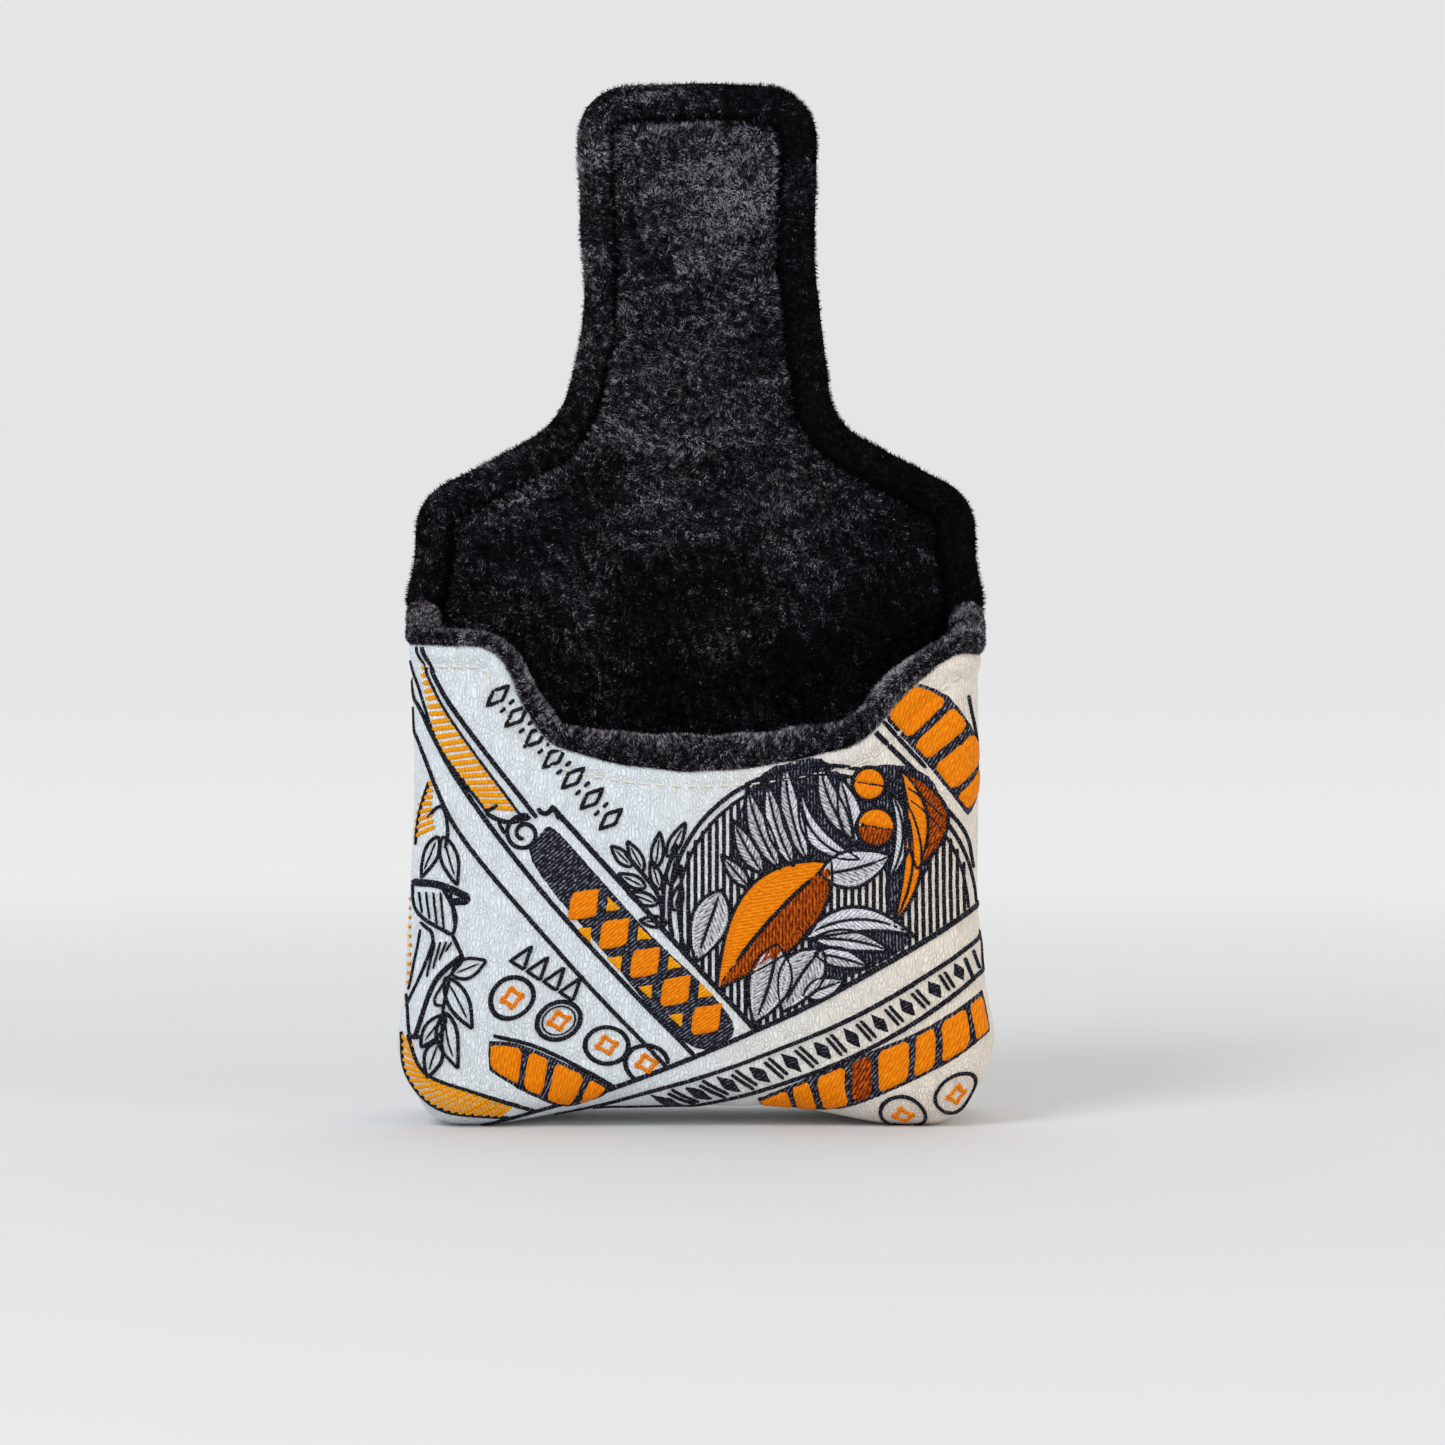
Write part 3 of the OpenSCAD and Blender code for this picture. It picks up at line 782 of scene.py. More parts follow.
class Work:
    """Embroidery of one piece, gathered stroke by stroke in pattern space."""

    def __init__(self, keep, place):
        self.keep, self.place = keep, place
        self.v, self.h, self.f, self.uv, self.mat = [], [], [], [], []
        self.count = 0

    def put(self, v, h, f, uv, mat):
        """Adds points and the faces whose points all pass keep."""
        if len(f) == 0:
            return
        ok = self.keep(v)
        self.v.append(v)
        self.h.append(h)
        self.uv.append(uv)
        kept = [tuple(i + self.count for i in face) for face in f if all(ok[i] for i in face)]
        self.f += kept
        self.mat += [mat] * len(kept)
        self.count += len(v)

    def satin(self, path, width, mat, height=0.5, closed=False, taper=0.0, step=0.55):
        """A raised ribbon of thread along path, a little ragged at both edges."""
        path = resample(path, step, closed)
        n = len(path)
        if n < 2:
            return
        if closed:
            t = np.roll(path, -1, 0) - np.roll(path, 1, 0)
        else:
            t = np.gradient(path, axis=0)
        t /= np.maximum(np.linalg.norm(t, axis=1), 1e-9)[:, None]
        side = np.column_stack([-t[:, 1], t[:, 0]])
        half = np.full(n, width / 2)
        if not closed:
            k = np.arange(n)
            near = np.minimum(k, n - 1 - k) * step
            half *= np.minimum(1, 0.55 + 0.45 * near / max(width * 0.5, 0.3))
            if taper:
                half *= np.minimum(1, 0.25 + near / taper)
        rows = []
        for s, rise in ((-1, -0.1), (-0.82, 0.55), (-0.35, 0.94), (0.35, 0.94), (0.82, 0.55),
                        (1, -0.1)):
            ragged = rng.normal(scale=0.035, size=n) if abs(s) > 0.5 else 0
            rows.append((path + side * (half * s + ragged)[:, None], rise * height, s))
        v = np.concatenate([r[0][:, None] for r in rows], 1).reshape(-1, 2)
        h = np.tile([r[1] for r in rows], n)
        u = np.repeat(np.arange(n) * step, len(rows))
        uv = np.column_stack([u, np.tile([r[2] * width / 2 for r in rows], n)])
        cols = len(rows)
        faces = grid_faces(n, cols)
        if closed:
            faces += [((n - 1) * cols + j, (n - 1) * cols + j + 1, j + 1, j)
                      for j in range(cols - 1)]
        self.put(v, h, [f[::-1] for f in faces], uv, mat)

    def fill(self, loop, angle, mat, height=0.4, step=1.1, rounds=2):
        """A filled shape, domed at its edge, with threads running at angle."""
        loop = resample(chaikin(loop, rounds, closed=True), 0.7, closed=True)
        if area(loop) < 0:
            loop = loop[::-1]
        loop = inset_outline(loop, rng.normal(scale=0.05, size=len(loop)))
        v, f = triangulate(loop, step, rings=(0.35,))
        d = -nearest(v, loop)[0]
        h = height * np.sqrt(np.clip(1 - (1 - np.clip(d / 0.8, 0, 1)) ** 2, 0, 1)) - 0.05
        a = math.radians(angle)
        along = v[:, 0] * math.cos(a) + v[:, 1] * math.sin(a)
        over = -v[:, 0] * math.sin(a) + v[:, 1] * math.cos(a)
        self.put(v, h, f, np.column_stack([over, along]), mat)

    def outline(self, loop, width, mat, height=0.55, rounds=2):
        self.satin(chaikin(loop, rounds, closed=True), width, mat, height, closed=True)

    def ring(self, centre, r, width, mat, height=0.5):
        self.satin(arc(*centre, r, 0, 360, 40)[:-1], width, mat, height, closed=True)

    def leaf(self, base, tip, width, line=0.8, vein=True):
        """An outlined leaf from base to tip with a central vein."""
        left, mid, right = blade(base, tip, width)
        self.satin(left, line, "ink")
        self.satin(right, line, "ink")
        if vein:
            self.satin(mid[2:-3], line * 0.55, "ink", 0.35, taper=1.0)

    def finish(self, name, mats, nodes, body, slot_name, flip=False):
        """Makes the piece from all that was put. flip turns it over, for the back."""
        keys = sorted(set(self.mat), key=mats.index)
        used = sorted({i for f in self.f for i in f})
        remap = np.full(self.count, -1)
        remap[used] = np.arange(len(used))
        v, h, uv = np.vstack(self.v)[used], np.concatenate(self.h)[used], np.vstack(self.uv)[used]
        faces = [tuple(remap[list(f[::-1] if flip else f)]) for f in self.f]
        ob = new_mesh(name, self.place(v, h), faces, [THREAD[k] for k in keys],
                      [keys.index(m) for m in self.mat], uv)
        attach(ob, body)
        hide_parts(*nodes)
        return ob


def area(loop):
    """Signed area of a closed loop: positive if it runs anticlockwise."""
    x, z = loop.T
    return 0.5 * (x @ np.roll(z, -1) - z @ np.roll(x, -1))


# The front's design, in mm as seen from the front: x to the right, z up from the base.
# A line is a width and a few points, which curve() joins smoothly.

BANDS = [
    (1.0, "-58.5,102.5 -52,90 -35,68"),             # hatched band: upper border,
    (0.6, "-59.5,102 -53,88.5 -38,68"),             # its inner line,
    (0.7, "-60,96.5 -55,82 -45,68.5"),              # and lower border
    (1.0, "-61,93 -51,75 -35,53.5 -17,33 0,15"),    # dark band: lower border,
    (0.9, "-61,86 -50,63 -28,36.5 -6,12.5"),        # a line below it,
    (1.1, "-28,66 -14,50.5 0,35 13,20.5"),          # and upper border
]
RIBBON = [
    (1.1, "-46,0 -22,7 0,15 22,25 42,36 61,47.5"),
    (0.9, "-30,2.5 -8,8 14,15 38,26 62,41"),
    (0.9, "-22,1.5 3,5 25,11.5 44,21 63,34.5"),
]
BLOCK_BORDERS = [
    (1.1, "38,85 47,76"),
    (0.9, "40,87 49,77"),
    (1.0, "48.5,91 56,82.5 60,76.5"),
    (0.9, "58,92.5 60,82.5"),
    (0.8, "-43,20 -33,17 -17,8.5"),
]
RIBBON_ENDS = [
    (1.0, "57.5,36.5 59.5,31.5"),
    (1.0, "59.5,38 61,34"),
]
CORNER_PIECE = [
    (0.8, "-61.5,20 -57.5,12 -46,7.5 -34,3.5"),
    (0.9, "-63,20.5 -61.5,11 -54,4 -40,2"),
]
SPRIG_STEMS = [
    (0.9, "-7,43 -8,50 -15,59"),
    (0.9, "-7,43 -6.5,53 -4,61"),
]
GARLAND = [
    (0.8, "-57,74 -59,67 -59.5,60.5"),              # hanging cord and its loop
    (0.7, "-57,66.5 -54,69 -52.5,64 -53,60"),
    (1.5, "-60,52.5 -54,52 -48,49 -52,48.5"),       # scalloped top of the drape
    (0.8, "-60,52 -59,46 -52,41.5"),
    (0.8, "-54,52.5 -51,46 -51.5,41.5"),
    (0.6, "-52,51 -51,42.5"),
    (0.8, "-52,42 -49.5,36.5"),
    (0.7, "-58.5,44 -56,40 -62,26"),
    (0.6, "-58.5,42.5 -61.5,29.5"),
    (1.1, "-50,37 -56,31 -60,19.5"),                # stem of the leaves
    (0.6, "-49.5,36 -54,31 -56,27 -54,26.5"),       # and tendrils beside it
    (0.7, "-62,28.5 -61,20 -58.5,20"),
    (0.7, "-52.5,32.5 -54,25 -54,18.5"),
]
SCROLL_HOOKS = [
    (0.9, "-42,69 -44.5,67.5 -40,65.5 -35,66.5"),
    (0.8, "-42,65.5 -40.5,63"),
    (1.0, "-33.5,68.5 -32,67 -30,68.5 -29,66"),
    (0.9, "52.5,69.5 58,63 60,55.5"),
]
TRIM = BLOCK_BORDERS + RIBBON_ENDS + CORNER_PIECE + SPRIG_STEMS + GARLAND + SCROLL_HOOKS
DARK_BAND = "-31,65.5 -25,59 -12,44 3,30 10.5,19.5 -1,14.5 -17,35.5 -37,58 -33,63"

# Outlined leaves: base and tip, and width.
SPRIGS = [
    ("-13.5,56 -18,60.5", 2.6),
    ("-11,55 -14.5,61.5", 2.6),
    ("-8.5,55.5 -7.5,63.5", 2.6),
    ("-6,58 -2,65.5", 2.6),
    ("-10.5,51.5 -16.5,54.5", 2.6),
    ("-8,48 -14.5,50.5", 2.6),
    ("-7.5,51 -9.5,57.5", 2.4),
    ("-5.5,52 -4,59", 2.4),
    ("-6,44 -12,44.5", 2.4),
    ("-4.5,46.5 -3,52.5", 2.4),
]
GARLAND_LEAVES = [
    ("-54.5,62.5 -58,53.5", 3.4),
    ("-53.5,62.5 -50.5,52", 3.6),
    ("-52,33 -44.5,36", 4.2),
    ("-53.5,32.5 -47.5,21.5", 4.2),
    ("-53.5,25 -50.5,13", 4.4),
    ("-54.5,19 -57,11", 3.6),
    ("-53.5,24.5 -58.5,17.5", 3.8),
]
# Hatched areas: the two borders that the bars run between, then pitch, bar width and slant.
HATCHES = [
    ("-59,99 -55,82 -44.5,68", "-58.5,99 -53,88.5 -38,67.5", 1.75, 1.05, 0.0),
    ("-63,20.5 -61.5,11 -54,4 -41.5,2", "-61,20 -57.5,12 -46,7.5 -39,5", 1.7, 1.0, 0.07),
    ("-57,74.5 -59.5,68 -60,61", "-56,73.5 -56,68 -55,63", 1.7, 0.95, -0.06),
    ("-62,49.5 -62,30", "-60.5,49.5 -61,30", 1.9, 0.9, 0.0),
]
# Coins: centre, radius and line width.
COINS = [
    ((-39, 28), 4.5, 1.1),
    ((-29, 23), 4.5, 1.1),
    ((-19, 17.5), 4.5, 1.1),
    ((-10.5, 13.5), 4.5, 1.1),
    ((56, 7), 4.9, 0.9),
    ((44.5, 2.5), 4.9, 0.9),
]
MEDAL = np.array([27.5, 47.0])                      # centre and half axes of the medallion
MEDAL_RX, MEDAL_RZ = 33.0, 30.5
ROW = ((-43, 93.5), (-17, 65))                      # lozenges under the scooped edge
BAND = ((-27, 51), (5.5, 20))                       # lozenges down the dark band
BUNTING = ((-39.5, 36), (-25.5, 27))                # triangles above the coins
SCROLL = ((-36.5, 63), 4.1, 1.0, 75, 1.55)          # centre, two radii, start angle, turns
# Leaves inside the medallion: base, tip, width, bend, colours of its two halves.
SPRAY = [
    ("14.5,54.5 8,66", 4.2, 0.4, "silver", "silver"),
    ("11.5,51.5 5.5,58.5", 3.2, 0.0, "silver", "silver"),
    ("18,55.5 11,73.5", 4.6, 1.0, "silver", "silver"),
    ("21,56 15.2,75", 4.4, 1.0, "lilac", "silver"),
    ("24,57 19,79.5", 4.4, 1.2, "silver", "lilac"),
    ("35,57.5 22.5,74", 4.2, 4.4, "lilac", "lilac"),
    ("33.5,62 26.5,79", 4.6, 1.4, "silver", "silver"),
    ("34,60.5 30.6,75.5", 5.0, -0.5, "silver", "lilac"),
    ("41,53 40.4,73.5", 3.4, -3.6, "lilac", "lilac"),
    ("47.5,55.5 43.2,77", 9.0, -4.2, "orange", "rust"),
    ("42.5,44 43.4,72.5", 3.8, -3.6, "orange", "orange"),
    ("26.5,54.5 42,58.5", 8.0, -0.8, "lilac", "silver"),
    ("5.5,51 0,35.5", 8.0, 0.0, "silver", "silver"),
    ("22.5,40.5 47,41", 5.4, 4.0, "lilac", "lilac"),
    ("25,40.5 42,37.8", 4.4, 1.0, "silver", "lilac"),
    ("25.5,37.5 37.4,34.4", 4.2, 0.4, "lilac", "silver"),
    ("23,28.4 32,31.8", 4.6, 0.0, "silver", "lilac"),
    ("27,38.5 18.3,24.6", 9.2, -0.8, "silver", "silver"),
    ("17.5,39.5 12.2,22", 9.0, 0.8, "silver", "silver"),
    ("29,57 4.5,29.5", 16.0, -1.5, "rust", "orange"),
]
# Round fruits: centre, radius, colours of the upper and the lower half.
FRUITS = [
    ((37.0, 73.6), 3.5, "orange", "orange"),
    ((38.4, 64.4), 4.1, "orange", "rust"),
]
# Dark thread behind the spray.
GROUNDS = [
    "7,57 9,67 13,76 24,80 31,77 36,67 36,57 26,54 14,54",
    "33,70 36,77.5 44,78 51,75 53,67 51.5,58 47,50 42.5,44 40,48 41,56 34,60",
    "24,35 24,42 31,46 40,44 47,41.5 44,37.6 34,32.8 27,30",
]
# Rows of blocks: the borders of each row, and its blocks as places along it and a colour.
BLOCKS = [
    ("13,6 25,11 36,16 48.5,21.5 61.5,29.5", "14,4.5 27.5,3.5 36,5.5 53,13.5 63,20.5", 8,
     (3,)),
    ("-44,19 -37,18 -26,13 -17.5,8.5", "-44,12.5 -37,8 -28,4.5 -20,6.5", 4, ()),
    ("40,88 48,79 58.5,66.5", "46.5,95.5 54,92 60.5,82 62,71", 4, ()),
]


def front_keep(p):
    """True where thread may lie: under the rim and short of the side seams."""
    below = p[:, 1] < scoop_z(p[:, 0]) - 0.5
    return below & (nearest(p, FRONT_CORE)[0] < SEAM_D - 1.2)


def across_hatch(work, left, right, pitch, bar, lead):
    """Bars of gold thread between two border lines. lead slants them along the band."""
    left, right = (resample(to_pattern(curve(numbers(text))), 0.25) for text in (left, right))
    count = int(max(len(left), len(right)) * 0.25 / pitch)
    for i in range(count):
        t = (i + 0.5) / count
        a = left[int(t * (len(left) - 1))]
        b = right[int(np.clip(t + lead, 0, 1) * (len(right) - 1))]
        work.satin(np.array([a, (a + b) / 2, b]), bar, "gold", 0.36)


def lies_left(p, line):
    """True where p is on the left of an open line, walking along it."""
    a, b = line[:-1], line[1:]
    mid = (a + b) / 2
    i = np.linalg.norm(p[:, None] - mid, axis=2).argmin(1)
    ab, ap = (b - a)[i], p - a[i]
    return ab[:, 0] * ap[:, 1] - ab[:, 1] * ap[:, 0] > 0


def in_runs(path, ok):
    """Splits a path into the runs of it whose points pass ok."""
    good = ok(path)
    run, runs = [], []
    for q, g in zip(path, good):
        if g:
            run.append(q)
        elif run:
            runs.append(np.array(run))
            run = []
    if run:
        runs.append(np.array(run))
    return [r for r in runs if len(r) > 3]


GROUND_H = 0.3                                      # height of the dark fills under the rest


def build_embroidery():
    """All embroidery of the front, a piece for each group of threads."""
    dark, orange = Work(front_keep, on_front), Work(front_keep, on_front)
    rust, silver = Work(front_keep, on_front), Work(front_keep, on_front)
    layer = {"navy": dark, "orange": orange, "rust": rust, "silver": silver, "lilac": silver}

    def line(width, text, longer=(0.0, 0.0), free=None):
        path = curve(extend(to_pattern(curve(numbers(text), 1.5)), *longer))
        for run in in_runs(path, free) if free else [path]:
            dark.satin(run, width * 1.12, "ink")
        return path

    ribbon = [line(*row, longer=(0.0, 11.0)) for row in RIBBON]
    bands = [line(*row, longer=(4.0, 2.0), free=lambda q: ~under_ribbon(q, ribbon))
             for row in BANDS]
    for row in TRIM:
        line(*row)
    build_medallion(dark, bands[-1], ribbon[0])
    dark.fill(to_pattern(numbers(DARK_BAND)), 40, "navy", GROUND_H)
    for text in GROUNDS:
        dark.fill(to_pattern(numbers(text)), 90, "navy", GROUND_H)
    build_spray(layer)
    for row in BLOCKS:
        build_blocks(layer, *row)
    for text, width in SPRIGS + GARLAND_LEAVES:
        dark.leaf(*to_pattern(numbers(text)), width)
    build_drape_folds(dark)
    for row in HATCHES:
        across_hatch(orange, *row)
    build_coins(dark, orange, ribbon)
    build_edge_row(dark)
    build_bunting(dark)
    build_band_marks(orange)
    build_ribbon_marks(dark, ribbon)
    dark.satin(to_pattern(spiral(*SCROLL)), 1.0, "ink")
    dark.finish("front_dark_embroidery_stitch", ["navy", "ink"], ["front_dark_embroidery"],
                "pocket", "navy_thread")
    orange.finish("front_orange_embroidery_stitch", ["orange", "gold"],
                  ["front_orange_embroidery"], "pocket", "orange_thread")
    rust.finish("front_rust_embroidery_stitch", ["rust"], ["front_rust_embroidery"], "pocket",
                "rust_thread")
    silver.finish("front_silver_embroidery_stitch", ["silver", "lilac"],
                  ["front_silver_embroidery"], "pocket", "silver_thread")


def build_drape_folds(dark):
    """Short strokes that fan out below the two edges of the drape."""
    for i in range(4):
        for top, foot in (((-58.5 + 1.5 * i, 50.5), (-58 + 1.5 * i, 46 - 1.2 * i)),
                          ((-55.5 + 1.2 * i, 40), (-57.5 + 1.4 * i, 32.5 + 1.8 * i))):
            dark.satin(to_pattern([top, foot]), 0.55, "ink")


def build_coins(dark, orange, ribbon):
    """Rings with a four-pointed star in each. The second one has a double rim."""
    for i, (centre, r, width) in enumerate(COINS):
        centre = to_pattern([centre])[0]
        rims = [(r, width), (r - 1.1, 0.4)] if i == 1 else [(r, width)]
        for rim_r, rim_width in rims:
            loop = arc(*centre, rim_r, 0, 370, 50)
            for run in in_runs(loop, lambda q: ~under_ribbon(q, ribbon)):
                dark.satin(run, rim_width, "ink")
        if not under_ribbon(centre[None], ribbon)[0]:
            star = arc(*centre, 2.8, 10, 370, 9)[:-1]
            star[1::2] = centre + (star[1::2] - centre) * 0.4
            orange.outline(star, 0.9, "orange", 0.42, rounds=1)


def build_medallion(dark, band_edge, ribbon_edge):
    """Two rings round an upright hatch, stopped by the band and the ribbon."""
    turn = np.linspace(0, 2 * math.pi, 200)
    circle = np.column_stack([np.cos(turn), np.sin(turn)])

    def free(p):
        return lies_left(p, band_edge) & lies_left(p, ribbon_edge)

    for shrink, width in ((0.0, 1.0), (1.9, 0.8)):
        loop = to_pattern(MEDAL + circle * [MEDAL_RX - shrink, MEDAL_RZ - shrink])
        for run in in_runs(loop, free):
            dark.satin(run, width, "ink")
    for x in np.arange(MEDAL[0] - MEDAL_RX + 2.5, MEDAL[0] + MEDAL_RX - 2.5, 1.52):
        high = MEDAL_RZ * math.sqrt(1 - ((x - MEDAL[0]) / MEDAL_RX) ** 2) - 2.2
        column = np.column_stack([np.full(160, x), MEDAL[1] + np.linspace(-high, high, 160)])
        for run in in_runs(to_pattern(column), free):
            dark.satin(run, 0.92, "ink", 0.26)


def build_spray(layer):
    """Two-sided leaves and round fruits on the medallion's dark ground."""
    for text, width, bend, left_colour, right_colour in SPRAY:
        base, tip = numbers(text)
        left, mid, right = (to_pattern(q) for q in blade(base, tip, width, bend))
        turn = math.degrees(math.atan2(tip[1] - base[1], tip[0] - base[0]))
        for edge, colour, lean in ((left, left_colour, 40), (right, right_colour, -40)):
            half = np.vstack([mid, edge[::-1][1:-1]])
            layer[colour].fill(half, turn + lean, colour, 0.5, rounds=0, step=0.9)
            if width > 6:
                rim = edge + (mid - edge) * 0.22
                tone = "lilac" if colour == "silver" else colour
                layer[tone].satin(rim[2:-2], 0.8, tone, 0.6, taper=1.5)
        layer["navy"].satin(np.vstack([left, right[::-1][1:]]), 0.85, "ink", 0.62, closed=True)
        if width > 3:
            layer["navy"].satin(mid[2:-3], 0.45 + 0.05 * width, "ink", 0.62, taper=2.0)
    for centre, r, upper, lower in FRUITS:
        for colour, a0 in ((upper, -10), (lower, 170)):
            half = to_pattern(arc(*centre, r, a0, a0 + 180, 14))
            layer[colour].fill(half, 75, colour, 0.74, rounds=0, step=0.9)
        layer["navy"].outline(to_pattern(arc(*centre, r, 0, 345, 24)), 1.1, "ink", 0.76, rounds=0)


def build_blocks(layer, upper, lower, count, rusty):
    """A dark row of coloured blocks, wide and narrow by turns, between two borders."""
    upper, lower = (resample(to_pattern(curve(numbers(q))), 0.4) for q in (upper, lower))
    layer["navy"].fill(np.vstack([upper, lower[::-1]]), 60, "navy", GROUND_H, rounds=1)

    def spot(t, across):
        a = upper[int(round(t * (len(upper) - 1)))]
        b = lower[int(round(t * (len(lower) - 1)))]
        inner = 0.7 / max(np.linalg.norm(b - a), 2)
        return a + (b - a) * (inner + (1 - 2 * inner) * across)

    for i in range(count):
        t0, t1 = (i + (0.05, 0.18)[i % 2]) / count, (i + (1.04, 0.86)[i % 2]) / count
        middle = (t0 + t1) / 2
        ring = [(t0, 0), (t0, 0.5), (t0, 1), (middle, 1), (t1, 1), (t1, 0.5), (t1, 0), (middle, 0)]
        colour = "rust" if i in rusty else "orange"
        loop = np.array([spot(*q) for q in ring])
        layer[colour].fill(loop, 70, colour, 0.68, rounds=1)


def under_ribbon(p, ribbon):
    """True below the rising ribbon's upper border, where the ribbon covers the rings."""
    return ~lies_left(p, ribbon[0]) & lies_left(p, ribbon[2]) & (p[:, 0] > -42)


def lozenge(centre, way, across):
    """Four corners round a centre, at plus and minus two vectors."""
    return np.array([centre + way, centre + across, centre - way, centre - across])


def frame_of(a, b):
    """Both ends of a line as arrays, and unit vectors along it and across it."""
    a, b = np.array(a, float), np.array(b, float)
    along = (b - a) / np.linalg.norm(b - a)
    return a, b, along, np.array([-along[1], along[0]])


def build_edge_row(dark):
    """Open lozenges with pairs of dots between them, under the scooped edge."""
    a, b, along, over = frame_of(*ROW)
    for i in range(13):
        c = a + (b - a) * (i + 0.5) / 13
        if i % 2 == 0:
            loop = lozenge(c, over * 3.2, along * 1.4)
            dark.outline(to_pattern(loop), 0.85, "ink", rounds=0)
        else:
            for s in (-1.3, 1.3):
                dot = np.array([c + over * (s + 0.75), c + over * (s - 0.75)])
                dark.satin(to_pattern(dot), 0.9, "ink", step=0.3)


def build_bunting(dark):
    """Small triangles standing on a line."""
    a, b, along, over = frame_of(*BUNTING)
    for i in range(4):
        c = a + (b - a) * (i + 0.45) / 4
        loop = np.array([c - along * 1.7, c + over * 5.0 + along * 0.4, c + along * 1.7])
        dark.outline(to_pattern(loop), 0.85, "ink", rounds=0)


def build_band_marks(orange):
    """A harlequin row down the dark band: lozenges, with triangles at the borders."""
    a, b, u, w = frame_of(*BAND)
    pitch = np.linalg.norm(b - a) / 5
    for i in range(5):
        c = a + u * pitch * (i + 0.5)
        loop = resample(lozenge(c, w * 5.1, u * 3.9), 2.0, closed=True)
        orange.fill(to_pattern(loop), 40, "orange", 0.62, rounds=0)
        if i == 4:
            break
        between = c + u * pitch / 2
        for s in (-1, 1):
            border = between + w * s * 5.0
            tri = np.array([border + u * 2.3, border - u * 2.3, between + w * s * 1.9])
            orange.fill(to_pattern(tri), 40, "gold", 0.56, rounds=0)


def build_ribbon_marks(dark, ribbon):
    """Lozenges and paired bars along the rising ribbon."""
    upper, lower = resample(ribbon[1], 0.5), resample(ribbon[2], 0.5)
    for i in range(21):
        t = 0.18 + 0.63 * i / 20
        a, b = upper[int(t * (len(upper) - 1))], lower[int((t + 0.01) * (len(lower) - 1))]
        c, half = (a + b) / 2, (a - b) / 2
        tall = np.linalg.norm(half) - 0.9
        if tall < 0.6:
            continue
        n = half / np.linalg.norm(half)
        s = np.array([n[1], -n[0]])
        if i % 2 == 0:
            dark.fill(lozenge(c, n * tall, s * 1.6), 30, "ink", 0.5, rounds=0)
        else:
            for k in (-0.65, 0.65):
                dark.satin(c + s * k + np.array([n, -n]) * tall * 0.85, 0.85, "ink", 0.5,
                           step=0.4)


def spiral(centre, r0, r1, a0, turns):
    """Points of a spiral from radius r0 to r1, starting at angle a0 in degrees."""
    t = np.linspace(0, 1, 50)
    a = np.radians(a0) + t * turns * 2 * math.pi
    r = r0 + (r1 - r0) * t
    return np.column_stack([centre[0] + r * np.cos(a), centre[1] + r * np.sin(a)])


# ---- stitched thread


def rope(pts, radius, sides=6):
    """A round strand through points, tapered at both ends."""
    t = unit(np.gradient(pts, axis=0))
    a = unit(np.cross(t, [0.3, 1.0, 0.2]))
    b = np.cross(t, a)
    n = len(pts)
    swell = np.sqrt(np.clip(1 - np.linspace(-1, 1, n) ** 4 * 0.9, 0.1, 1))
    rings = []
    for k in range(sides):
        ang = 2 * math.pi * k / sides
        rings.append(pts + (a * math.cos(ang) + b * math.sin(ang)) * (radius * swell)[:, None])
    v = np.stack(rings, 1).reshape(-1, 3)
    f = grid_faces(n, sides, wrap_cols=True)
    f += [tuple(range(sides))[::-1], tuple((n - 1) * sides + k for k in range(sides))]
    return v, f


STITCH_PITCH, STITCH_LENGTH, STITCH_R = 3.5, 2.7, 0.24


def stitch_row(name, line, place):
    """Cream thread that dips in and out along a line on a surface."""
    step = 0.15
    dense = resample(line, step)
    per, run = int(STITCH_PITCH / step), int(STITCH_LENGTH / step)
    verts, faces, count = [], [], 0
    for start in range(0, len(dense) - run, per):
        seg = dense[start:start + run + 1][:: max(1, run // 7)]
        t = np.linspace(-1, 1, len(seg))
        h = 0.12 + 0.16 * (1 - t**4) - 0.45 * (np.abs(t) ** 6)
        v, f = rope(place(seg, h), STITCH_R)
        verts.append(v)
        faces += [tuple(i + count for i in q) for q in f]
        count += len(v)
    uv = np.column_stack([np.arange(count) * 0.02, np.zeros(count)])
    return new_mesh(name, np.vstack(verts), faces, [THREAD["cream"]], uv=uv)


# ---- sides and bottom


def seam_path():
    """Silhouette from the left rim, round the base, to the right rim."""
    cx = HALF_W - CORNER_R
    right = arc(cx, CORNER_R, CORNER_R, -90, 0, 24)
    left = right[::-1] * [-1, 1]
    return resample(np.vstack([[[-HALF_W, CORNER_Z]], left, right, [[HALF_W, CORNER_Z]]]), 1.3)


def seam_y(z):
    """Where the back leather's edge meets the gusset: it thins away above the pocket."""
    return BACK_Y - edge_r(z) - (back_limit(z) - edge_r(z) * math.pi / 2)


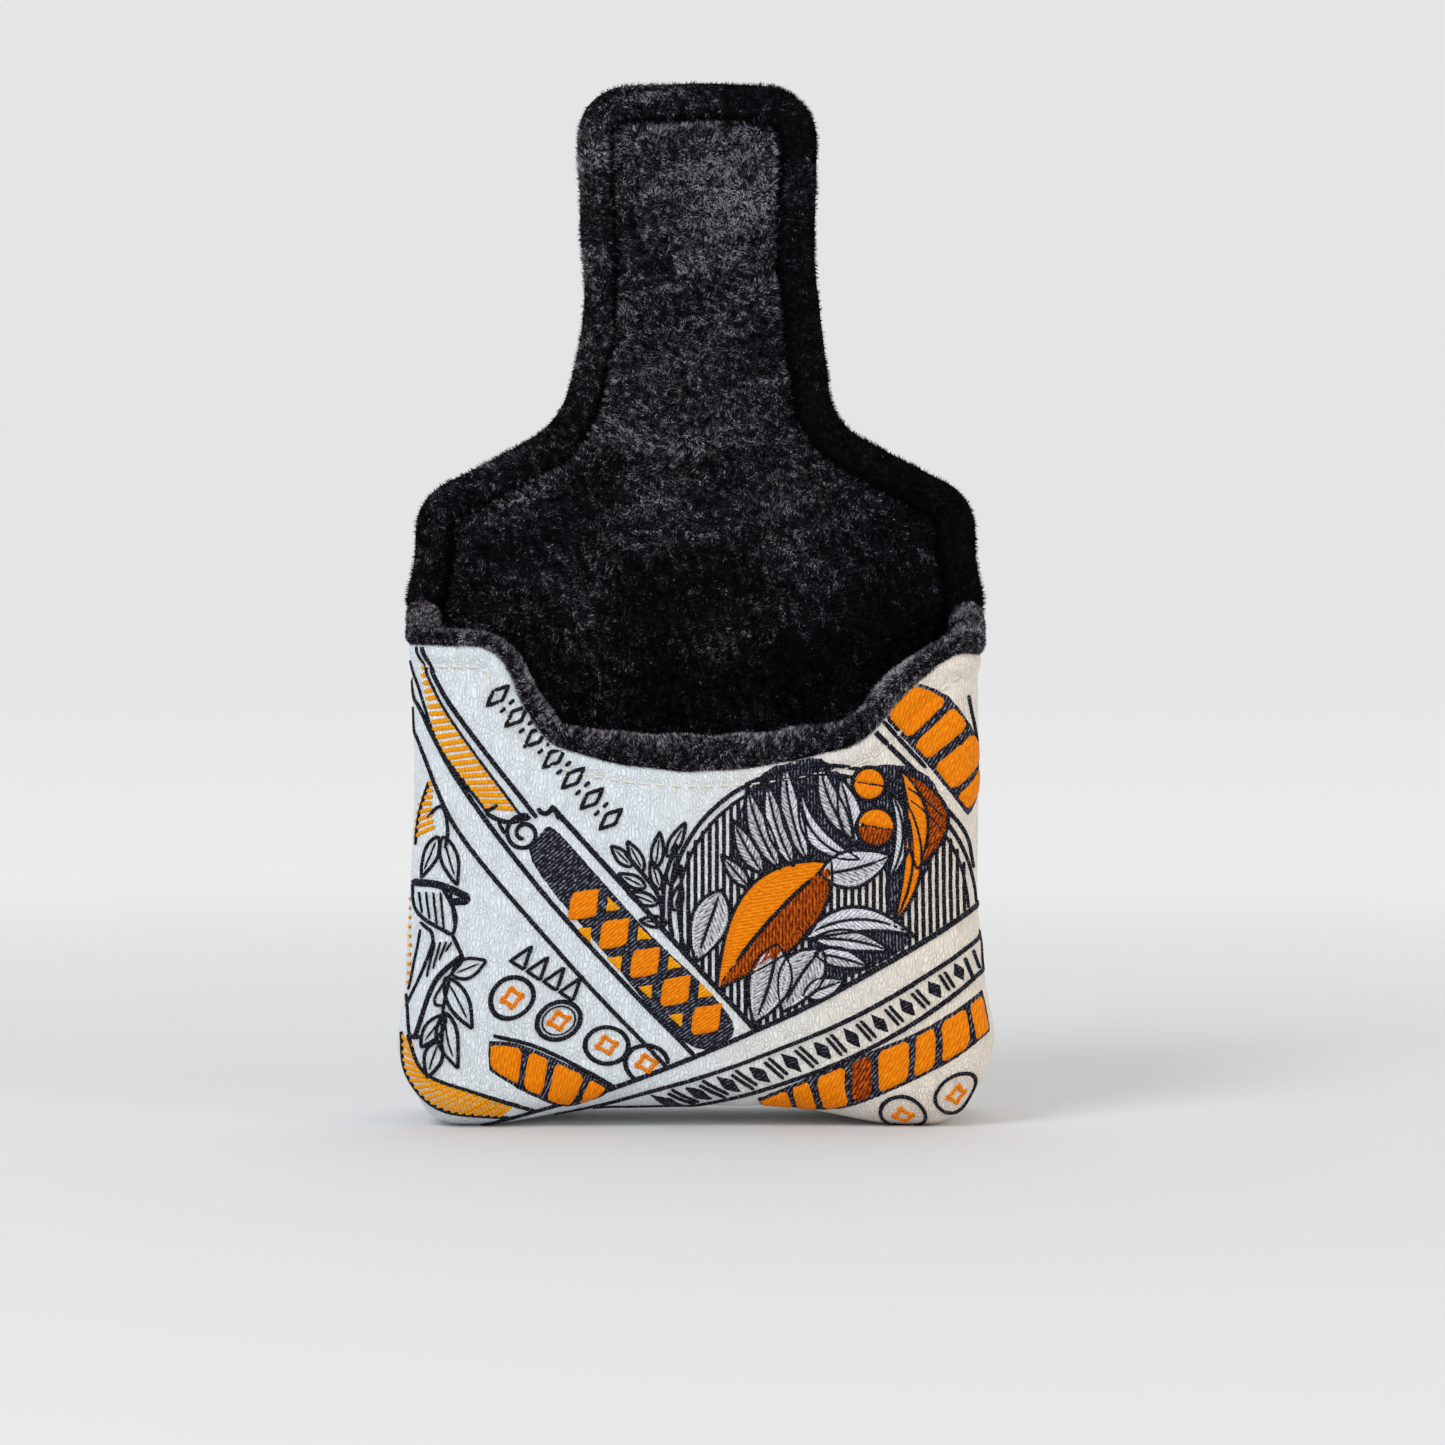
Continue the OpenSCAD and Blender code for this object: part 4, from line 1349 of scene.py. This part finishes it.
def build_gusset():
    """Sides and bottom in one strip. Each of its rows runs along the silhouette, s from the
    front seam at -1 to the back seam at 1, and on behind the back leather."""
    path = seam_path()
    t = unit(np.gradient(path, axis=0))
    normal = np.column_stack([t[:, 1], -t[:, 0]])
    top = smooth((path[:, 1] - CORNER_Z + 6) / 6)
    lid_side = BACK[(BACK[:, 0] > 40) & (BACK[:, 1] > 60) & (BACK[:, 1] < 118)]
    lid_side = lid_side[np.argsort(lid_side[:, 1])]
    rows = []
    for s in np.concatenate([[-1.0], np.linspace(-0.96, 0.96, 19), [1.0, 1.05, 1.1]]):
        tuck = (1.3 - 0.8 * top * (s > 0)) * smooth((abs(s) - 0.86) / 0.24) + 0.5 * top
        p = path + normal * (0.5 * (1 - min(abs(s), 1.0) ** 2) - tuck)[:, None]
        z = p[:, 1] + top * (0.8 + 5.2 * smooth((s + 1) / 2) ** 1.5)
        y = np.where(s < 0, s * SEAM_Y, s * seam_y(z))
        flare = np.interp(z, lid_side[:, 1], lid_side[:, 0]) - HALF_W
        x = p[:, 0] + np.sign(p[:, 0]) * flare * (z > 90) * smooth((s - 0.4) / 0.6)
        rows.append(np.column_stack([x, y, z]))
    v = np.stack(rows, 1).reshape(-1, 3)
    v[:, 0] += 0.12 * noise(v, 15, "gusset") * np.sign(v[:, 0])
    f = grid_faces(len(path), len(rows), flip=True)
    ob = new_mesh("side_and_bottom_gusset", soften(v), f, [LEATHER])
    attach(ob, "pocket")
    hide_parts("left_side_leather", "left_side_foam", "right_side_leather",
                "right_side_foam", "bottom_leather", "bottom_foam")


# ---- back, lid and flap leather


def back_height(p):
    """Relief of the back: slack, creases at the folds, a hem groove and tucked seams."""
    d = nearest(p, BACK_CORE)[0]
    z = p[:, 1]
    h = 0.10 * noise(p, 19, "back slack") + 0.05 * noise(p, 7, "back small")
    for fold in (FOLD1, FOLD2):
        h -= 0.45 * bump(z, fold, 1.6)
    h -= 0.4 * bump(d, -1.4, 0.8) * smooth((z - FOLD1 + 6) / 6)
    h -= 0.7 * smooth((d - back_limit(z) + 1.6) / 1.6) ** 2 * (1 - smooth((z - 96) / 8))
    return h


def back_limit(z):
    """How far the back leather runs past its flat core before it meets a seam or plush."""
    full = EDGE_R * math.pi / 2 + (BACK_Y - EDGE_R - SEAM_Y)
    thin = 3.0 * math.pi / 2
    return full + (thin - full) * smooth((np.asarray(z, float) - 98) / 11)


def on_back(p, h):
    pos, _ = wrap(p, back_height(p) + h, BACK_CORE, edge_r, BACK_Y, 1)
    return soften(pos)


def back_sheet_loop(z0, z1):
    """Pattern outline of the back leather between two heights."""
    out = inset_outline(BACK_CORE, -back_limit(BACK_CORE[:, 1]))
    right = out[out[:, 0] > 0]
    right = right[np.argsort(path_order(right))]
    corner = ((right[:, 1] > 84) & (right[:, 1] < 116))[1:-1, None]
    for _ in range(12):
        mean = (right[:-2] + 2 * right[1:-1] + right[2:]) / 4
        right[1:-1] = np.where(corner, mean, right[1:-1])
    half = right[(right[:, 1] >= z0) & (right[:, 1] <= z1)]
    if z1 < TIP_Z:
        half = np.vstack([half, [[np.interp(z1, half[-8:, 1], half[-8:, 0]), z1]]])
    if z0 > 0:
        half = np.vstack([[[np.interp(z0, half[:8, 1], half[:8, 0]), z0]], half])
    return resample(mirrored(half), 1.1, closed=True)


def path_order(p):
    """Sort key that follows the right half of the outline from the base to the tip."""
    x, z = p.T
    order = np.where(z < 60, np.arctan2(z - 60, x), z)
    return order - 0.001 * np.where(z > 200, x, 0)


def build_back():
    """Leather of back, lid and flap, in two pieces that meet between the folds."""
    low = back_sheet_loop(-99, SPLIT_Z)
    v, f = triangulate(low, 1.6, rings=(0.5, 1.2))
    ob = new_mesh("back_panel_and_lid_leather", on_back(v, 0.0), [t[::-1] for t in f], [LEATHER])
    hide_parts("back_leather", "back_foam")
    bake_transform(ob)
    high = back_sheet_loop(SPLIT_Z, 999)
    v, f = triangulate(high, 1.6, rings=(0.5, 1.2))
    ob = new_mesh("lid_and_flap_leather", on_back(v, 0.0), [t[::-1] for t in f], [LEATHER])
    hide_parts("lid_leather", "lid_foam", "flap_leather", "flap_foam")
    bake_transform(ob)


# ---- plush of lid and flap

BORDER = 8.3                                    # width of the rolled border


def plush_depth(p, edge):
    """How far the plush skin stands in front of the middle of the panel."""
    z = p[:, 1]
    inner = np.sqrt(np.clip(1 - ((edge - 3.4) / 4.3) ** 2, 0, 1))
    outer = np.sqrt(np.clip(1 - ((3.4 - edge) / 3.42) ** 2, 0, 1))
    roll = 2.2 * np.where(edge < 3.4, outer, inner)
    field = 1.75 * smooth((edge - BORDER + 0.6) / 2.6)
    depth = np.maximum(roll, field) - 0.9 * bump(edge, BORDER - 0.5, 0.8)
    r = np.hypot(p[:, 0], z - MAGNET_Z)
    depth += (0.32 * (1 - smooth((r - 11.5) / 2.0)) - 0.38 * bump(r, 14.0, 1.1)) * (edge > 4)
    soft = smooth((edge - 6) / 8)
    depth += soft * (0.22 * noise(p, 14, "lid slack") + 0.10 * noise(p, 6, "lid small"))
    depth += soft * (1.15 * bump(z, FOLD2 + 1, 4.2) - 0.7 * bump(z, FOLD2 - 7, 5.0))
    depth -= 0.35 * soft * bump(z, FOLD2 + 24, 2.2)
    depth -= 0.5 * soft * bump(z, FOLD1 + 3, 4.0)
    return depth


def plush_painted_light(p, edge):
    """Painted light and shade on the plush: light at the tip and dark towards the pocket, with a
    painted shadow line inside the border and round the magnet, the border and the right-hand side
    painted darker, and painted highlights on the left edge, the magnet's disc and the fold.
    """
    x, z = p.T
    r = np.hypot(x, z - MAGNET_Z)
    tone = 0.9 * smooth((z - 130) / 60) - 0.9 * (1 - smooth((z - 96) / 34))
    tone -= 2.0 * bump(edge, BORDER - 0.4, 1.0) + 0.6 * bump(r, 14.2, 1.2)
    tone -= (edge < BORDER) * (0.35 + 1.5 * smooth(x / 10))
    tone -= 1.2 * smooth((x - 34) / 16) * (z < 150)
    tone += 0.1 * bump(edge, 3.0, 1.6) * (x < 0) + 0.45 * (r < 13) + 0.25 * (edge > BORDER)
    tone += 0.6 * bump(z, FOLD2 + 1, 4.0) * (edge > BORDER)
    return tone


def on_inside(p, drawn_in=4.5):
    """Silhouette points to the plush face, its lowest edge drawn in behind the side walls."""
    edge = -nearest(p, BACK)[0]
    y = MID_Y - plush_depth(p, np.maximum(edge, 0))
    behind = (1 - smooth((p[:, 1] - 99) / 9)) * smooth((np.abs(p[:, 0]) - 48) / 10)
    pos = np.column_stack([p[:, 0] - np.sign(p[:, 0]) * drawn_in * behind, y, p[:, 1]])
    return soften(pos), edge


def inner_loop(z0, z1):
    """The silhouette between two heights, as a closed loop."""
    half = BACK[BACK[:, 0] > 0]
    half = half[np.argsort(path_order(half))]
    half = half[(half[:, 1] > z0) & (half[:, 1] < z1)]
    rows = [[[np.interp(z0, half[:9, 1], half[:9, 0]), z0]], half]
    if z1 < TIP_Z:
        rows.append([[np.interp(z1, half[-9:, 1], half[-9:, 0]), z1]])
    half = np.vstack(rows)
    return resample(mirrored(half), 0.9, closed=True)


def build_inside():
    """Lining of back, lid and flap, in two pieces that meet between the folds."""
    v, f = triangulate(inner_loop(SPLIT_Z, 999), 1.15, rings=(0.12, 0.45, 1.1))
    pos, edge = on_inside(v)
    ob = plush_piece("lid_and_flap_plush", pos, f, density=17 * QUALITY, length=1.1,
                     tone=plush_painted_light(v, edge))
    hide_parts("lid_lining", "flap_lining", "flap_binding")
    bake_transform(ob)
    v, f = triangulate(inner_loop(99.0, SPLIT_Z), 1.15, rings=(0.12, 0.45, 1.1))
    pos, edge = on_inside(v)
    low = [[-IN_X + 0.5, 12], [IN_X - 0.5, 12], [IN_X - 0.5, 99.2], [-IN_X + 0.5, 99.2]]
    w, g = triangulate(resample(np.array(low, float), 2.0, closed=True), 2.4, rings=())
    wall, _ = on_inside(w, drawn_in=0)
    join = smooth((w[:, 1] - 90) / 9)
    low_y = IN_Y + 0.9 + 0.25 * noise(w, 14, "back lining")
    wall[:, 1] = low_y * (1 - join) + wall[:, 1] * join
    verts = np.vstack([pos, wall])
    faces = list(f) + [tuple(i + len(pos) for i in t) for t in g]

    def top_heavy(p):
        return 0.25 + 0.75 * smooth((p[:, 2] - 66) / 14)

    # Painted shade: the wall low in the pocket gets a dark tone of -0.9
    tone = np.concatenate([plush_painted_light(v, edge), np.full(len(wall), -0.9)])
    ob = plush_piece("back_and_lid_plush", verts, faces, density=17 * QUALITY, length=1.1,
                     weight=top_heavy, tone=tone)
    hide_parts("back_lining", "lid_left_binding", "lid_right_binding")
    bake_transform(ob)


# ---- pocket lining and rim


def build_lining():
    """Plush bag inside the pocket: left side, front, right side and floor."""
    r = 6.0
    x, y = IN_X - 0.6, IN_Y - 0.6
    left = arc(-x + r, -y + r, r, 180, 270, 8)
    right = arc(x - r, -y + r, r, 270, 360, 8)
    path = resample(np.vstack([[[-x, y + 2.5]], left, right, [[x, y + 2.5]]]), 1.7)
    rows = 46
    v = []
    for i in range(rows):
        t = i / (rows - 1)
        front = smooth((-path[:, 1] - 4) / 8)
        top = scoop_z(path[:, 0]) * front + (CORNER_Z + 2) * (1 - front)
        z = FLOOR_Z + 2 + (top + 1.5 - FLOOR_Z - 2) * t
        curl = 4.5 * (1 - smooth((z - FLOOR_Z) / 9)) ** 2
        scale = np.column_stack([1 - curl / IN_X, 1 - curl / IN_Y * 0.8])
        v.append(np.column_stack([path * scale, z]))
    v = np.array(v).reshape(-1, 3)
    v[:, 1] += 0.3 * noise(v, 14, "lining") * (v[:, 1] < 0)
    f = halves(grid_faces(rows, len(path), flip=True))
    floor = resample(np.array([[-x + 1, -y + 1], [x - 1, -y + 1], [x - 1, y + 2], [-x + 1, y + 2]]),
                     2.2, closed=True)
    w, g = triangulate(floor, 2.6, rings=())
    f += [tuple(i + len(v) for i in t[::-1]) for t in g]
    v = np.vstack([v, np.column_stack([w, np.full(len(w), FLOOR_Z + 3.0)])])

    def near_mouth(p):
        return 0.22 + 0.78 * smooth((p[:, 2] - 62) / 14)

    # Painted shade: tone -0.7 darkens the lining inside the pocket
    ob = plush_piece("pocket_lining", soften(v), f, density=9 * QUALITY, length=1.5,
                     weight=near_mouth, tone=-0.7)
    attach(ob, "pocket")
    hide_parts("front_lining", "left_side_lining", "right_side_lining", "bottom_lining")


# How tall the rim's roll looks at places along the front, in mm.
ROLL = numbers("-62,3 -48,2.6 -40,3 -33,3.7 -20,5.6 -5,7 10,7 25,5.8 35,4.9 50,4.2 62,4.2")


def build_rim():
    """The plush roll over the edge of the mouth: left side, scoop and right side."""
    xs = np.linspace(-PATTERN_X + 1, PATTERN_X - 1, 140)
    stands = np.interp(xs, ROLL[:, 0], ROLL[:, 1])
    front, _ = wrap(rim_line(xs, -0.38 * stands), -3.3, FRONT_CORE, EDGE_R, FRONT_Y, -1)
    ys = np.linspace(-SEAM_Y + 1.5, 17.5, 22)
    side = np.column_stack([np.full(len(ys), HALF_W - 3.3), ys,
                            CORNER_Z + 1.6 + 5.0 * smooth((ys + SEAM_Y) / 29) ** 1.5])
    path = np.vstack([side[::-1] * [-1, 1, 1], front, side])
    tall = np.concatenate([np.full(len(ys), 3.0), 0.62 * stands, np.full(len(ys), 3.0)])
    both = chaikin(np.column_stack([path, tall]), 2)
    both = resample(both, 1.0)
    path, tall = both[:, :3], both[:, 3]
    # out is level with the ground, and top is square to it and to the path
    t = unit(np.gradient(path, axis=0))
    out = unit(np.column_stack([t[:, 1], -t[:, 0], np.zeros(len(t))]))
    top = np.cross(out, t)
    top *= np.sign(top[:, 2:])
    wob = 1 + 0.05 * noise(path, 7, "rim wobble")
    n, sides = len(path), 20
    rings = []
    for k in range(sides):
        a = 2 * math.pi * k / sides
        rings.append(path + out * (3.0 * wob * math.cos(a))[:, None]
                     + top * (tall * wob * math.sin(a))[:, None])
    v = np.stack(rings, 1).reshape(-1, 3)
    tri = halves(grid_faces(n, sides, wrap_cols=True))
    a, b, c = (v[[q[i] for q in tri]] for i in range(3))
    centre = path[np.array([q[0] for q in tri]) // sides]
    if (np.cross(b - a, c - a) * (a - centre)).sum() < 0:
        tri = [q[::-1] for q in tri]
    # Painted light: tone makes the roll lighter than the rest of the plush, and lightest on its top
    ob = plush_piece("mouth_rim_plush", soften(v), tri, density=20 * QUALITY, length=1.0,
                     tone=0.45 + 0.5 * smooth((v[:, 2] - np.repeat(path[:, 2], sides)) / 3))
    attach(ob, "pocket")
    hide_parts("front_rim_binding", "left_rim_binding", "right_rim_binding")


# ---- back and flap embroidery


def on_level_back(p, h):
    """As on_back, but lines laid near the arched base stay straight."""
    return on_back(np.column_stack([p[:, 0], p[:, 1] - arch(p[:, 0], p[:, 1])]), h)


def back_keep(p):
    """True on the pocket's back, short of the folds and the seams."""
    return (p[:, 1] < 99) & (p[:, 1] > 5) & (nearest(p, BACK_CORE)[0] < EDGE_R)


def flap_keep(p):
    return p[:, 1] > 0


def build_back_embroidery():
    """A band of lozenges down the back, and an eight-petalled rosette with leaves."""
    dark, orange = Work(back_keep, on_level_back), Work(back_keep, on_level_back)
    a, b, u, w = frame_of((-50, 80), (40, 12))
    start, end = a - u * 18, b + u * 24
    for out, width in ((-7.9, 0.6), (-6.2, 1.1), (6.2, 1.1), (7.9, 0.6), (-15, 0.9), (-19, 0.9)):
        dark.satin(np.array([start + w * out, end + w * out]), width, "ink")
    for i in range(9):
        c = a + u * (10 + i * 11)
        loop = resample(lozenge(c, w * 4.2, u * 4.9), 2.0, closed=True)
        orange.fill(loop, 40, "orange", 0.42, rounds=0)
        dark.outline(loop, 0.8, "ink", rounds=0)
    for i in range(70):
        c = start + u * (i * 2.2 + 1) - w * 17
        orange.satin(np.array([c - w * 1.2 - u * 0.6, c, c + w * 1.2 + u * 0.6]), 1.1, "gold", 0.36)
    c = np.array([22.0, 68.0])
    dark.ring(c, 14.5, 1.1, "ink")
    dark.ring(c, 12.3, 0.5, "ink")
    for i in range(8):
        way, side = directions(45 * i)
        tip, base = c + way * 11.0, c + way * 3.0
        dark.leaf(base, tip, 3.6, 0.6, vein=False)
        orange.fill(np.array([base, (base + tip) / 2 + side * 1.3, tip,
                              (base + tip) / 2 - side * 1.3]), 45 * i + 50, "orange", 0.36,
                    rounds=1)
    for turn in (150, 165, 180, 195, 210, -30, -15, 0, 15, 30):
        way, _ = directions(turn)
        dark.leaf(c + way * 16.5, c + way * (24.5 - 2 * abs(way[1])), 3.2)
    dark.finish("back_dark_embroidery_stitch", ["ink"], ["back_dark_embroidery"], "pocket",
                "navy_thread", flip=True)
    orange.finish("back_orange_embroidery_stitch", ["orange", "gold"], ["back_orange_embroidery"],
                  "pocket", "orange_thread", flip=True)


def build_flap_embroidery():
    """A six-petalled rosette in two rings, behind the flap's magnet."""
    dark, orange = Work(flap_keep, on_back), Work(flap_keep, on_back)
    c = np.array([0.0, MAGNET_Z])
    dark.ring(c, 17.4, 1.1, "ink")
    dark.ring(c, 14.6, 0.6, "ink")
    for i in range(6):
        way, _ = directions(60 * i + 30)
        left, _, right = blade(c + way * 1.6, c + way * 11.6, 5.2)
        loop = np.vstack([left, right[::-1][1:-1]])
        orange.fill(loop, 60 * i + 90, "orange", 0.42, rounds=0)
        dark.outline(loop, 0.75, "ink", rounds=0)
    dark.finish("flap_dark_embroidery_stitch", ["ink"], ["flap_dark_embroidery"], "flap",
                "navy_thread", flip=True)
    orange.finish("flap_orange_embroidery_stitch", ["orange"], ["flap_orange_embroidery"],
                  "flap", "orange_thread", flip=True)


def directions(degrees):
    """Unit vectors outwards and sideways at an angle."""
    turn = math.radians(degrees)
    way = np.array([math.cos(turn), math.sin(turn)])
    return way, np.array([-way[1], way[0]])


# ---- topstitches


def build_rim_stitch():
    """Topstitch below the scooped edge."""
    line = resample(STITCH, 0.3)
    line = line[np.abs(line[:, 0]) < PATTERN_X - 8]
    ob = stitch_row("rim_topstitch_thread", line, on_front)
    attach(ob, "pocket")
    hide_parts("rim_topstitch")


def build_hem_stitch():
    """Topstitch round the leather of lid and flap, a little way in from the edge."""
    half = inset_outline(BACK, 4.4)
    half = half[(half[:, 0] > 0) & (half[:, 1] > FOLD1 + 4)]
    half = half[np.argsort(path_order(half))]
    ob = stitch_row("lid_and_flap_hem_stitch", resample(mirrored(half), 0.3), on_back)
    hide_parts("flap_binding_stitch", "lid_binding_stitch")
    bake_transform(ob)


# ---- build

build_front()
build_embroidery()
build_gusset()
build_back()
build_inside()
build_lining()
build_rim()
build_back_embroidery()
build_flap_embroidery()
build_rim_stitch()
build_hem_stitch()


def brushed(nt):
    """Bump of turned steel: fine streaks across its axis."""
    return grain(nt, stretched(nt, 300, 300, 4000), 1.0, 2.0)[0], 0.15, 0.00005


STEEL = material("magnet_steel", (0.62, 0.63, 0.65), 0.22, brushed, Metallic=1.0)
PVC = material("pouch_pvc", (0.75, 0.78, 0.80), 0.2, plush_nap, Specular_IOR_Level=0.5)
for side in ("front", "flap"):
    for node, mat in ((side + "_magnet", STEEL), (side + "_magnet_pouch", PVC)):
        me = frame["nodes"][node].data
        me.materials.clear()
        me.materials.append(mat)

# ---- stage, light and camera


FLOOR_GLOW = 0.66                                   # light that the far floor gives off


def distance_ramp(nt):
    """0 at the object, 1 from 0.9 m away."""
    length = add(nt, "ShaderNodeVectorMath", operation="LENGTH")
    nt.links.new(stretched(nt, 1, 1, 1), length.inputs[0])
    ramp = add(nt, "ShaderNodeMapRange", interpolation_type="SMOOTHSTEP")
    ramp.inputs["From Min"].default_value = 0.05
    ramp.inputs["From Max"].default_value = 0.9
    nt.links.new(length.outputs["Value"], ramp.inputs["Value"])
    return ramp.outputs["Result"]


def floor_tint(nt):
    """Pale at the object, and darker where the floor glows."""
    return blend_colours(nt, distance_ramp(nt), (0.76, 0.76, 0.76), (0.16, 0.16, 0.16), 0.0, 1.0)


def build_stage():
    """A round pale floor that curves up into a wall, and gives off light far from the object."""
    flat, bend, tall = 3000, 900, 4500
    turn = np.linspace(0, math.pi / 2, 16)
    r = np.concatenate([[10, flat / 2], flat + bend * np.sin(turn), [flat + bend]])
    z = np.concatenate([[0, 0], bend * (1 - np.cos(turn)), [tall]])
    around = np.radians(np.arange(0, 360, 5))
    v = [(rr * math.cos(t), rr * math.sin(t), zz) for rr, zz in zip(r, z) for t in around]
    f = grid_faces(len(r), len(around), wrap_cols=True, flip=True)
    f.append(tuple(range(len(around))))
    ground = material("studio_floor", (0.5, 0.5, 0.5), 0.9, tint=floor_tint,
                      Emission_Color=(1, 1, 1, 1), Emission_Strength=FLOOR_GLOW)
    nt = ground.node_tree
    glow = maths(nt, "MULTIPLY", distance_ramp(nt), FLOOR_GLOW)
    nt.links.new(glow, principled(ground).inputs["Emission Strength"])
    new_mesh("studio_floor", np.array(v, float), f, [ground])


def area_light(name, place, target, size, power, colour=(1, 1, 1)):
    """A round lamp, size across in metres and power in watts, aimed at target."""
    data = bpy.data.lights.new(name, "AREA")
    data.shape = "DISK"
    data.size = size
    data.energy = power
    data.color = colour
    ob = bpy.data.objects.new(name, data)
    bpy.context.scene.collection.objects.link(ob)
    ob.location = place
    ob.rotation_mode = "QUATERNION"
    ob.rotation_quaternion = (Vector(target) - Vector(place)).to_track_quat("-Z", "Y")


build_stage()
area_light("key", (-0.75, -0.9, 1.25), (0, 0, 0.08), 0.7, 10.4, (0.95, 0.98, 1.0))
area_light("fill", (1.1, -0.8, 0.5), (0, 0, 0.08), 0.8, 3.6, (1.0, 0.93, 0.84))
area_light("top", (0.1, 0.35, 1.3), (0, 0, 0.1), 0.8, 2.5)
world = bpy.data.worlds.new("studio")
world.use_nodes = True
sky = world.node_tree.nodes["Background"].inputs
sky["Color"].default_value = (0.92, 0.94, 1.0, 1)
sky["Strength"].default_value = 0.30
scene = bpy.context.scene
scene.world = world
scene.view_settings.view_transform = "Standard"
scene.view_settings.look = "None"

cam = bpy.data.cameras.new("camera")
camera = bpy.data.objects.new("camera", cam)
scene.collection.objects.link(camera)
scene.camera = camera
cam.sensor_width = 36.0
cam.lens = 103.0
cam.clip_start = 0.01
cam.clip_end = 20.0
camera.location = (0.0, -0.9, 0.110)
aim = Vector((0.0058, -0.021, 0.0867))
camera.rotation_mode = "QUATERNION"
camera.rotation_quaternion = (aim - camera.location).to_track_quat("-Z", "Y")
